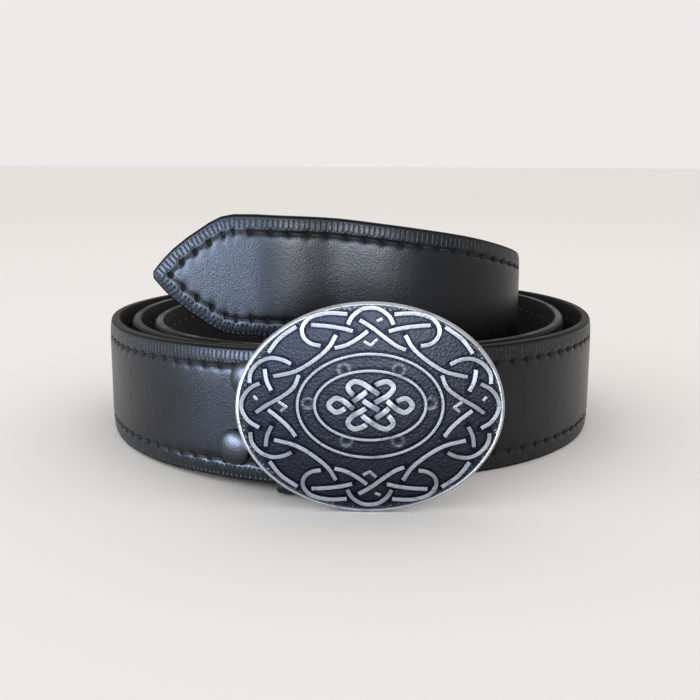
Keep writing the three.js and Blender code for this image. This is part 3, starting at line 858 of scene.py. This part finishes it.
body = corners(plate)
share = np.hypot(body[:, 0] / PLATE_HALF[0], body[:, 2] / PLATE_HALF[1])
front = body[:, 1] < -face_depth(body[:, [0, 2]]) + 1.0
DIMPLES = [(-7.1, 11.0), (7.6, 11.0), (16.2, 1.75), (7.6, -8.6), (-6.3, -8.6), (-16.7, 1.75)]
DIMPLE_RADIUS, DIMPLE_EDGE, DIMPLE_BOWL = 1.45, 0.4, 1.0
bar_spots = np.vstack(strand_lines + ring_lines + [knot_line])
to_bar = np.concatenate([
    nearest_gap(block, bar_spots) for block in np.array_split(body[:, [0, 2]], 60)
])
dimple = np.zeros(len(body))
for across, up in DIMPLES:
    away = np.hypot(body[:, 0] - across, body[:, 2] - up)
    ring_of = swell(away - DIMPLE_RADIUS, DIMPLE_EDGE)
    bowl = swell(away, DIMPLE_BOWL)
    dimple = np.where(front, np.maximum(dimple, ring_of), dimple)
    body[:, 1] -= front * (0.11 * ring_of - 0.12 * bowl)
for name, values in (("dimple", dimple), ("share", share), ("to_bar_mm", to_bar)):
    note(plate, name, values)
move_corners(plate, body + FACE_TO_FRAME)
smooth(plate, 40)
report(plate)

# %% [markdown]
# ## The loop and the hook on the back
# The strap folds round an upright bar that two legs hold off the plate, and a
# hook near the other end takes one of the holes. Both are plain cast shapes
# with softened corners. The cubes are stretched to size and bevelled.

# %% Loop and hook
BAR_RADIUS = 1.6
LEG_HALF = 1.7
LEG_HEIGHT = 1.8
LEG_TOP = BAR[2] + STRAP_WIDTH + 0.6
LEG_BOTTOM = BAR[2] - 0.5
HOOK_AT = (34.0, 23.5)
HOOK_RADIUS = 2.0
HOOK_REACH, NOSE_THICK, NOSE_LENGTH = 9.0, 2.0, 5.0


def cast_block(name, low, high, soften):
    low, high = np.array(low), np.array(high)
    middle = (low + high) / 2 + PLAN_SHIFT
    block = start_from(
        bpy.ops.mesh.primitive_cube_add, name,
        size=1, location=middle * MM, scale=(high - low) * MM,
    )
    apply_modifier(block, "BEVEL", width=soften * MM, segments=3, limit_method="NONE")
    return block


def cast_rod(name, radius, low, high):
    low, high = np.array(low) + PLAN_SHIFT, np.array(high) + PLAN_SHIFT
    rod = start_from(
        bpy.ops.mesh.primitive_cylinder_add, name,
        vertices=32, radius=radius * MM, depth=float(np.linalg.norm(high - low)) * MM,
        location=(low + high) / 2 * MM,
        rotation=Vector(high - low).to_track_quat("Z", "Y").to_euler(),
    )
    round_edges(rod, 0.3, segments=2)
    return rod


leg_left, leg_right, leg_end = BAR[0] - LEG_HALF, BAR[0] + LEG_HALF, BAR[1] + BAR_RADIUS
hook_x, hook_z = HOOK_AT
face_y = PLATE_AT[1]
nose_end = face_y + HOOK_REACH
back_parts = [
    cast_block(
        "leg_upper", (leg_left, face_y - 0.5, LEG_TOP),
        (leg_right, leg_end, LEG_TOP + LEG_HEIGHT), 0.5,
    ),
    cast_block(
        "leg_lower", (leg_left, face_y + 1, LEG_BOTTOM - LEG_HEIGHT),
        (leg_right, leg_end, LEG_BOTTOM), 0.5,
    ),
    cast_rod("loop_bar", BAR_RADIUS, (*BAR[:2], LEG_BOTTOM - 0.3), (*BAR[:2], LEG_TOP + 0.3)),
    cast_rod("hook_stem", HOOK_RADIUS, (hook_x, face_y - 0.2, hook_z), (hook_x, nose_end, hook_z)),
    cast_block(
        "hook_nose", (hook_x - HOOK_RADIUS, nose_end - NOSE_THICK, hook_z - HOOK_RADIUS),
        (hook_x + NOSE_LENGTH, nose_end, hook_z + HOOK_RADIUS), 0.7,
    ),
]
hardware = join(back_parts, "loop_and_hook")
smooth(hardware, 40)
for piece in (plate, knotwork, hardware):
    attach(piece, "buckle")
    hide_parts("buckle_plate")
report(hardware)

# %% [markdown]
# ## Snaps
# Two domed caps close the fold. A cap is pressed from sheet, so it is a thin
# shell of turned shape: its profile is spun round its own axis. A post joins
# it to a flat socket on the inner side.

# %% Spin the snaps
SNAPS = [("snap_cap_upper", "snap_upper", 27.6, 33.1), ("snap_cap_lower", "snap_lower", 32.2, 12.3)]
CAP_RADIUS, CAP_RISE = 5.4, 1.93
LEATHER_HALF, SNAP_STANDS_OFF = 1.95, 0.45
SNAP_FRONT = LEATHER_HALF + SNAP_STANDS_OFF
SNAP_REAR = -(LAYER + TAB_GAP) - LEATHER_HALF - SNAP_STANDS_OFF
# Distance from the axis, and outward from the socket's seat or the cap's seat
SOCKET = [
    (0, -1.7), (3.0, -1.7), (3.4, -1.2), (4.5, -1.2), (4.6, -1.7),
    (4.95, -1.65), (5.2, -1.2), (5.2, -0.1), (5.1, 0), (1.7, 0),
]
CAP = [(1.7, 0), (5.15, 0), (5.35, 0.1), (CAP_RADIUS, 0.32)] + [
    (CAP_RADIUS * math.cos(a), 0.35 + CAP_RISE * math.sin(a))
    for a in np.radians([8, 18, 28, 38, 48, 58, 68, 78, 86, 90])
]
SNAP_PROFILE = [(radius, SNAP_REAR + out) for radius, out in SOCKET]
SNAP_PROFILE += [(radius, SNAP_FRONT + out) for radius, out in CAP]


def spin_snap(name):
    profile = [(radius * MM, out * MM, 0) for radius, out in SNAP_PROFILE]
    snap = from_profile(name, profile)
    with editing(snap):
        bpy.ops.mesh.spin(steps=48, angle=2 * math.pi, center=(0, 0, 0), axis=(0, 1, 0))
    tidy_mesh(snap, gap=0.001)
    return snap


snaps = []
for name, node, distance, height in SNAPS:
    snap = spin_snap(name)
    spot, _, out = on_coil(distance)
    place = (spot * (1, 1, 0) + PLAN_SHIFT + (0, 0, height)) * MM
    turn = Vector((0, 1, 0)).rotation_difference(Vector(out))
    snap.matrix_world = Matrix.Translation(Vector(place)) @ turn.to_matrix().to_4x4()
    set_in_place(snap)
    smooth(snap, 40)
    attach(snap, "belt")
    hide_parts(node)
    report(snap)
    snaps.append(snap)

# %% [markdown]
# ## Keeper
# The keeper is a narrow loop of the same leather round both layers of the
# fold. Its inner outline, a rectangle with rounded corners, is drawn once,
# extruded along the belt, and given its wall with Solidify.

# %% The keeper loop
KEEPER_ALONG, KEEPER_WIDTH, KEEPER_WALL = 12.0, 12.0, 1.6
KEEPER_CORNER = 0.8
KEEPER_STEPS = 6
KEEPER_INNER = ((-10.05, -0.7), (2.55, 40.7))
(inner, lower), (outer, upper) = np.array(KEEPER_INNER) + ((KEEPER_CORNER,), (-KEEPER_CORNER,))
ring = []
for quarter, (middle_out, middle_up) in enumerate([
    (outer, upper), (inner, upper), (inner, lower), (outer, lower),
]):
    for a in np.radians(quarter * 90 + np.array([0, 22.5, 45, 67.5, 90])):
        ring.append((middle_out + KEEPER_CORNER * math.cos(a), middle_up + KEEPER_CORNER * math.sin(a)))
ring = np.array(ring)
sides = [np.linspace(a, b, 6, endpoint=False) for a, b in zip(ring, np.roll(ring, -1, axis=0))]
ring = np.vstack([side if np.linalg.norm(side[1] - side[0]) > 0.5 else side[:1] for side in sides])
keeper_side = [(-KEEPER_WIDTH / 2 * MM, out * MM, up * MM) for out, up in ring]
keeper = from_profile("keeper_loop", keeper_side, closed=True)
one_step = (KEEPER_WIDTH / KEEPER_STEPS * MM, 0, 0)
with editing(keeper):
    for _ in range(KEEPER_STEPS):
        bpy.ops.mesh.extrude_region_move(TRANSFORM_OT_translate={"value": one_step})
    bpy.ops.mesh.select_all(action="SELECT")
    bpy.ops.mesh.normals_make_consistent(inside=False)
apply_modifier(keeper, "SOLIDIFY", thickness=KEEPER_WALL * MM, offset=1, use_even_offset=True)
round_edges(keeper, 0.45)
flat_keeper = corners(keeper)
note(keeper, "edge_mm", KEEPER_WIDTH / 2 - np.abs(flat_keeper[:, 0]))
spot, along_here, out_here = on_coil(KEEPER_ALONG)
keeper.matrix_world = (
    Matrix.Translation(Vector(spot + PLAN_SHIFT) * MM)
    @ Matrix((along_here, out_here, (0, 0, 1))).transposed().to_4x4()
)
set_in_place(keeper)
tidy_mesh(keeper, gap=0.001)
smooth(keeper, 40)
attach(keeper, "belt")
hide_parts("keeper")
report(keeper)

# %% [markdown]
# ## Materials
# The looks are built from two shared node groups. One gives a fine leather
# grain, the other the stains and small pits of old cast metal. Each has a
# socket for its size, so every material sets its own. Patterns are laid on
# the object's own coordinates, or follow the distances noted on its mesh.
# Masks can be added and multiplied like numbers, which keeps a recipe short.

# %% Writing node trees
def feed(socket, value):
    """Set a socket to a number or colour, or link a mask to it."""
    if isinstance(value, Mask):
        value.tree.links.new(value.socket, socket)
    else:
        socket.default_value = value


class Mask:
    """A value over the surface. Its sums and products are math nodes."""

    def __init__(self, socket):
        self.socket = socket
        self.tree = socket.id_data

    def math(self, operation, first, second=0.0):
        node = self.tree.nodes.new("ShaderNodeMath")
        node.operation = operation
        feed(node.inputs[0], first)
        feed(node.inputs[1], second)
        return Mask(node.outputs[0])

    def __add__(self, other):
        return self.math("ADD", self, other)

    def __mul__(self, other):
        return self.math("MULTIPLY", self, other)

    def __sub__(self, other):
        return self.math("SUBTRACT", self, other)

    def __rsub__(self, other):
        return self.math("SUBTRACT", other, self)

    def or_more(self, other):
        return self.math("MAXIMUM", self, other)

    def clamped(self):
        """Keep the sum that made this mask between 0 and 1."""
        self.socket.node.use_clamp = True
        return self

    def ramp(self, low, high):
        """0 below low, 1 above high, smooth between."""
        node = self.tree.nodes.new("ShaderNodeMapRange")
        node.interpolation_type = "SMOOTHSTEP"
        for name, value in (("Value", self), ("From Min", low), ("From Max", high)):
            feed(node.inputs[name], value)
        return Mask(node.outputs["Result"])

    def colours(self, at_zero, at_one):
        """One colour where the mask is 0, running to the other where it is 1."""
        node = self.tree.nodes.new("ShaderNodeMix")
        node.data_type = "RGBA"
        for name, value in (("Factor", self), ("A", at_zero), ("B", at_one)):
            feed(node.inputs[name], value)
        return Mask(node.outputs["Result"])


# %% Noted numbers, textures and new groups
def attribute(tree, name):
    """A number that was noted on the mesh."""
    node = tree.nodes.new("ShaderNodeAttribute")
    node.attribute_name = name
    return Mask(node.outputs["Fac"])


def texture(tree, kind, scale, result, **values):
    """A texture on the object's own coordinates, scale in features per metre."""
    node = tree.nodes.new(kind)
    place = tree.nodes.new("ShaderNodeTexCoord").outputs["Object"]
    tree.links.new(place, node.inputs["Vector"])
    feed(node.inputs["Scale"], scale)
    for name, value in values.items():
        if name in node.bl_rna.properties:
            setattr(node, name, value)
        else:
            node.inputs[name].default_value = value
    return Mask(node.outputs[result])


def new_group(name, size_name, size, results):
    """A node group with a size in mm going in and masks coming out."""
    group = bpy.data.node_groups.new(name, "ShaderNodeTree")
    sockets = group.interface
    size_socket = sockets.new_socket(size_name, in_out="INPUT", socket_type="NodeSocketFloat")
    size_socket.default_value = size
    for result in results:
        sockets.new_socket(result, in_out="OUTPUT", socket_type="NodeSocketFloat")
    size_here = Mask(group.nodes.new("NodeGroupInput").outputs[size_name])
    way_out = group.nodes.new("NodeGroupOutput").inputs
    return group, size_here.math("DIVIDE", 1000.0, size_here), way_out


# %% A shared group: leather grain
CREASE_SHARE = 0.9
grain, per_metre, way_out = new_group("leather_grain", "Cell Size mm", 0.8, ("Height", "Mottle"))
cells = texture(
    grain, "ShaderNodeTexVoronoi", per_metre, "Distance", feature="SMOOTH_F1", Smoothness=0.35
)
creases = texture(grain, "ShaderNodeTexNoise", per_metre * 0.3, "Fac", Detail=3.0, Roughness=0.6)
clouds = texture(grain, "ShaderNodeTexNoise", 45.0, "Fac", Detail=4.0, Roughness=0.6)
feed(way_out["Height"], (1.0 - cells) + creases * CREASE_SHARE)
feed(way_out["Mottle"], clouds)
print("leather_grain has", len(grain.nodes), "nodes")

# %% A shared group: old cast metal
PEBBLE_SHARE = 0.45
cast, per_metre, way_out = new_group("old_cast_metal", "Pit Size mm", 0.6, ("Height", "Stain"))
pits = texture(cast, "ShaderNodeTexNoise", per_metre, "Fac", Detail=2.0, Roughness=0.55)
pebbles = texture(
    cast, "ShaderNodeTexVoronoi", per_metre, "Distance", feature="SMOOTH_F1", Smoothness=0.5
)
stains = texture(cast, "ShaderNodeTexNoise", 260.0, "Fac", Detail=5.0, Roughness=0.7)
feed(way_out["Height"], (1.0 - pebbles) * PEBBLE_SHARE + pits)
feed(way_out["Stain"], stains)
print("old_cast_metal has", len(cast.nodes), "nodes")


# %% Starting a material, and giving it to a piece
def use(tree, group, size):
    """A shared group at a size: its height, and its mottle or stain."""
    node = tree.nodes.new("ShaderNodeGroup")
    node.node_tree = group
    node.inputs[0].default_value = size
    return Mask(node.outputs[0]), Mask(node.outputs[1])


def new_material(name):
    """A material with its node tree, and the sockets of its shader."""
    material = bpy.data.materials.new(name)
    material.use_nodes = True
    return material, material.node_tree, material.node_tree.nodes["Principled BSDF"].inputs


def bump(shader, height, depth_mm):
    """Raise the surface by height times depth_mm."""
    node = height.tree.nodes.new("ShaderNodeBump")
    node.inputs["Distance"].default_value = depth_mm * MM
    feed(node.inputs["Height"], height)
    feed(shader["Normal"], Mask(node.outputs["Normal"]))


def wear(obj, material):
    obj.data.materials.clear()
    obj.data.materials.append(material)


# %% [markdown]
# Black leather is never quite black. Where hands and the next turn rub it, the
# dye has worn a little paler, and the wax in it gives a low, slightly blue
# sheen. The border was pressed with a toothed tool, so it has uneven dashes;
# these, the stitch holes and the stitch groove are darkened with painted shade.

# %% Black strap leather
BLACK = (0.0042, 0.0042, 0.005, 1)
BLACK_WORN = (0.0085, 0.0085, 0.0095, 1)
# Painted shade: the black of the stitch holes, the stitch groove and the dashes
PAINTED_SHADE_BLACK = (0.0015, 0.0015, 0.0015, 1)
FLESH = (0.011, 0.0085, 0.0075, 1)
EDGE_DYE = (0.004, 0.004, 0.004, 1)
LEATHER_TINT = (0.9, 0.94, 1.0, 1)
LEATHER_SPECULAR = 0.29
LEATHER_ROUGHNESS, MOTTLED_ROUGHNESS, FLESH_ROUGHNESS = 0.29, 0.14, 0.25
GRAIN_SIZE, GRAIN_HEIGHT, LEATHER_BUMP = 0.55, 0.042, 0.8
# On the next two lines, the last number is how much painted shade the dashes and the groove get
DASH_PITCH, DASH_UNEVEN, DASH_DEPTH, DASH_SHADE_SHARE = 1.65, 0.9, 0.32, 0.32
HOLE_PIT_DEPTH, GROOVE_SHADE_SHARE = 0.6, 0.45


def leather_shine(shader):
    feed(shader["Specular IOR Level"], LEATHER_SPECULAR)
    feed(shader["Specular Tint"], LEATHER_TINT)


strap_look, tree, shader = new_material("strap_leather")
leather_shine(shader)
grain_height, mottle = use(tree, grain, GRAIN_SIZE)
edge_mm, run_mm, flesh = (attribute(tree, name) for name in ("edge_mm", "run_mm", "flesh"))

# Pressed dashes across the border, uneven like a hand tool's marks
sway = texture(tree, "ShaderNodeTexNoise", 300.0, "Fac", Detail=2.0)
dash_run = attribute(tree, "dash_mm") + sway * DASH_UNEVEN
wave = dash_run.math("SINE", dash_run * (2 * math.pi / DASH_PITCH))
on_border = edge_mm.ramp(1.0, 1.7) * (1.0 - edge_mm.ramp(3.6, 4.5))
dashes = wave.ramp(0.05, 0.95) * on_border * (1.0 - flesh)

# Stitch holes: the mesh has the pits, and painted shade makes their bottoms black
step = run_mm.math("PINGPONG", run_mm, STITCH_PITCH / 2)
off_line = edge_mm - BORDER
spread = step.math("SQRT", step * step + off_line * off_line)
hole_pit_shade = 1.0 - spread.ramp(0.8, 1.05)
groove_painted_shade = 1.0 - off_line.math("ABSOLUTE", off_line).ramp(0.2, 0.6)
# Painted shade: holes, stitch groove and pressed dashes are painted near black
painted_shade_marks = hole_pit_shade.or_more(groove_painted_shade * GROOVE_SHADE_SHARE).or_more(dashes * DASH_SHADE_SHARE)
rim_dye = 1.0 - edge_mm.ramp(0.6, 1.2)

face_colour = mottle.ramp(0.35, 0.7).colours(BLACK, BLACK_WORN)
for mask, colour in ((flesh, FLESH), (rim_dye, EDGE_DYE), (painted_shade_marks, PAINTED_SHADE_BLACK)):
    face_colour = mask.colours(face_colour, colour)
feed(shader["Base Color"], face_colour)
rough = mottle * MOTTLED_ROUGHNESS + LEATHER_ROUGHNESS + flesh * FLESH_ROUGHNESS
unpolished = (painted_shade_marks * 0.6).or_more(rim_dye * 0.45)
feed(shader["Roughness"], (rough + unpolished).clamped())
pressed_in = dashes * DASH_DEPTH + hole_pit_shade * HOLE_PIT_DEPTH
bump(shader, grain_height * GRAIN_HEIGHT - pressed_in, LEATHER_BUMP)
wear(strap, strap_look)

# %% Dyed edge: a waxed black line along the rounded edges
dye_look, tree, shader = new_material("edge_dye")
grain_height, mottle = use(tree, grain, 0.4)
feed(shader["Base Color"], mottle.colours(EDGE_DYE, BLACK))
feed(shader["Roughness"], mottle * 0.2 + 0.4)
feed(shader["Specular IOR Level"], 0.09)
bump(shader, grain_height, 0.05)

# %% Cut edge: the fibres show, and the turns that rub inside are paler
CUT_DARK = (0.02, 0.0195, 0.019, 1)
CUT_PALE = (0.16, 0.155, 0.148, 1)
OUTER_TURN = (820.0, 900.0)
cut_look, tree, shader = new_material("cut_edge")
fibre_height, mottle = use(tree, grain, 0.3)
outermost = attribute(tree, "run_mm").ramp(*OUTER_TURN)
rubbed = mottle.ramp(0.3, 0.7) * (1.0 - outermost * 0.75)
feed(shader["Base Color"], rubbed.colours(CUT_DARK, CUT_PALE))
feed(shader["Roughness"], mottle * 0.25 + 0.6)
feed(shader["Specular IOR Level"], 0.2)
bump(shader, fibre_height, 0.14)

# %% Which faces of the strap are dyed, and which are cut
DYE_WIDTH, CUT_WIDTH = 0.8, 0.2
FACE_SLOT, DYE_SLOT, CUT_SLOT = 0, 1, 2
strap.data.materials.append(dye_look)
strap.data.materials.append(cut_look)
noted = {}
for name in ("edge_mm", "flesh"):
    noted[name] = np.empty(len(strap.data.vertices), dtype=np.float32)
    strap.data.attributes[name].data.foreach_get("value", noted[name])
finish = []
for face in strap.data.polygons:
    spots = list(face.vertices)
    furthest = noted["edge_mm"][spots].max()
    if furthest < CUT_WIDTH:
        finish.append(CUT_SLOT)
    elif furthest < DYE_WIDTH and noted["flesh"][spots].max() < 0.5:
        finish.append(DYE_SLOT)
    else:
        finish.append(FACE_SLOT)
strap.data.polygons.foreach_set("material_index", finish)
print(finish.count(DYE_SLOT), "faces are dyed,", finish.count(CUT_SLOT), "are cut leather")

# %% Keeper leather
keeper_look, tree, shader = new_material("keeper_leather")
leather_shine(shader)
grain_height, mottle = use(tree, grain, 0.75)
keeper_edge = 1.0 - attribute(tree, "edge_mm").ramp(0.2, 1.0)
feed(shader["Base Color"], keeper_edge.colours(BLACK, BLACK_WORN))
feed(shader["Roughness"], mottle * 0.2 + 0.36)
bump(shader, grain_height, 0.09)
wear(keeper, keeper_look)

# %% Waxed threads
THREADS = [
    ("black_thread", (0.012, 0.0115, 0.011, 1), face_thread),
    ("brown_thread", (0.13, 0.055, 0.028, 1), inner_thread),
]
for name, colour, row_of_stitches in THREADS:
    thread_look, tree, shader = new_material(name)
    feed(shader["Base Color"], colour)
    feed(shader["Roughness"], 0.62)
    feed(shader["Specular IOR Level"], 0.25)
    bump(shader, use(tree, grain, 0.35)[0], 0.12)
    wear(row_of_stitches, thread_look)

# %% [markdown]
# The plate was darkened all over and then polished, so only what stands proud
# is silver. One recipe does for all its parts: a mask says how bright each
# spot is, and the cast pits are shallower there, as if polished away.

# %% Old silver: plate, raised bars, loop and hook
SILVER = (0.172, 0.178, 0.187, 1)
RUBBED_SILVER = (0.42, 0.432, 0.45, 1)
TARNISH = (0.0065, 0.0074, 0.012, 1)
STAINED, POLISHED_FLAT = 0.4, 0.8
HOOK_SHINE = 0.45


def silver(name, bright, pit_size, depth_mm, light=SILVER):
    """Silver where bright is 1 and tarnish where it is 0."""
    look, tree, shader = new_material(name)
    pits, stain = use(tree, cast, pit_size)
    stain = stain.ramp(0.28, 0.5)
    proud = bright(tree)
    amount = (stain * proud * STAINED + proud * (1 - STAINED)).clamped()
    feed(shader["Base Color"], amount.colours(TARNISH, light))
    feed(shader["Roughness"], amount * 0.02 + 0.4)
    feed(shader["Metallic"], 1.0)
    bump(shader, pits * (1.0 - amount * POLISHED_FLAT), depth_mm)
    return look


def plate_bright(tree):
    """The rim, and faint spots on the ground: open places, dimples, specks. Beside a bar the ground
    stays dark, as patina and painted shade.
    """
    share = attribute(tree, "share")
    # Patina and painted shade: the ground within about a millimetre of a bar stays darker
    open_ground = attribute(tree, "to_bar_mm").ramp(0.88, 1.35) * 0.025
    specks = share.ramp(0.91, 0.96) * use(tree, cast, 0.5)[0].ramp(0.8, 1.0)
    faint = open_ground + specks * 0.3 + attribute(tree, "dimple") * 0.1
    return share.ramp(0.962, 0.97).or_more(faint)


def bar_bright(tree):
    """The tops of the bars. Where the knot dips under a crossing it keeps the tarnish, as patina and
    painted shade.
    """
    # Painted shade too: the knot turns dark where it dips under a crossing
    return attribute(tree, "above_mm").ramp(0.42, 0.58)


def hook_bright(tree):
    """The same all over, as the back is never polished."""
    return HOOK_SHINE


wear(plate, silver("plate_silver", plate_bright, 0.75, 0.13, light=RUBBED_SILVER))
wear(knotwork, silver("bar_silver", bar_bright, 0.8, 0.12))
wear(hardware, silver("hook_silver", hook_bright, 0.9, 0.15))

# %% Gunmetal snaps
SNAP_DARK, SNAP_LIGHT = (0.033, 0.033, 0.036, 1), (0.06, 0.06, 0.063, 1)
snap_look, tree, shader = new_material("snap_metal")
pits, stain = use(tree, cast, 0.8)
feed(shader["Base Color"], stain.colours(SNAP_DARK, SNAP_LIGHT))
feed(shader["Metallic"], 1.0)
feed(shader["Roughness"], 0.38)
bump(shader, pits, 0.05)
for snap in snaps:
    wear(snap, snap_look)

# %% [markdown]
# ## Floor, light and camera
# A pale floor under an even pale sky reads as a clean studio table from every
# side. A few weak soft lights give it direction, and three cards put the
# sheen on leather and metal, which an even light can't do. The camera stands
# a little above the coil and looks down on it.

# %% Floor
FLOOR_HALF = 15.0
floor = start_from(
    bpy.ops.mesh.primitive_grid_add, "studio_floor",
    x_subdivisions=2, y_subdivisions=2, size=2 * FLOOR_HALF,
)
floor_look, tree, shader = new_material("studio_floor")
feed(shader["Base Color"], (0.92, 0.905, 0.885, 1))
feed(shader["Roughness"], 0.9)
feed(shader["Specular IOR Level"], 0.0)
wear(floor, floor_look)

# %% Lights
world = bpy.data.worlds.new("studio")
bpy.context.scene.world = world
world.use_nodes = True
sky = world.node_tree.nodes["Background"].inputs
sky["Color"].default_value = (1.0, 0.985, 0.97, 1)
sky["Strength"].default_value = 0.84
# Name, place, aim, width, height, colour, power in watts, and whether it also
# lights matt surfaces. Lengths are in metres.
LIGHTS = [
    ("left_front_soft", (-0.66, -0.55, 0.34), (0, 0, 0.04), 0.55, 0.5, (0.82, 0.91, 1.0), 1.0, True),
    ("overhead_soft", (0.1, 0.35, 1.2), (0, 0, 0.04), 1.0, 1.0, (1.0, 0.98, 0.96), 1.0, True),
    ("left_sheen_card", (-0.52, -0.43, 0.07), (0, 0, 0.05), 0.42, 0.13, (0.6, 0.74, 1.0), 9.8, False),
    ("middle_sheen_card", (-0.19, -0.7, 0.17), (0, 0, 0.05), 0.26, 0.27, (0.6, 0.74, 1.0), 2.9, False),
    ("front_sheen_card", (0.065, -0.8, 0.15), (0, 0, 0.05), 0.09, 0.24, (0.93, 0.96, 1.0), 5.8, False),
]
for name, at, target, width, tall, colour, power, on_matt in LIGHTS:
    bpy.ops.object.light_add(type="AREA", location=at)
    light = bpy.context.active_object
    light.name = name
    light.data.name = name
    light.data.shape = "RECTANGLE"
    light.data.size = width
    light.data.size_y = tall
    light.data.color = colour
    light.data.energy = power
    light.visible_camera = False
    light.visible_diffuse = on_matt
    light.rotation_euler = (Vector(target) - Vector(at)).to_track_quat("-Z", "Y").to_euler()

# %% Camera
CAMERA_AT = Vector((-1.013, -352.71, 94.92)) * MM
LOOKS_DOWN, ROLL = math.radians(11.009), 0.00393
bpy.ops.object.camera_add(location=CAMERA_AT)
camera = bpy.context.active_object
camera.name = "camera"
camera.matrix_world = (
    Matrix.Translation(CAMERA_AT)
    @ Matrix.Rotation(math.pi / 2 - LOOKS_DOWN, 4, "X")
    @ Matrix.Rotation(ROLL, 4, "Z")
)
camera.data.lens = 50
camera.data.sensor_width = 36
camera.data.clip_start = 0.01
bpy.context.scene.camera = camera
bpy.context.scene.view_settings.view_transform = "Standard"

bpy.data.objects.remove(bend_line)
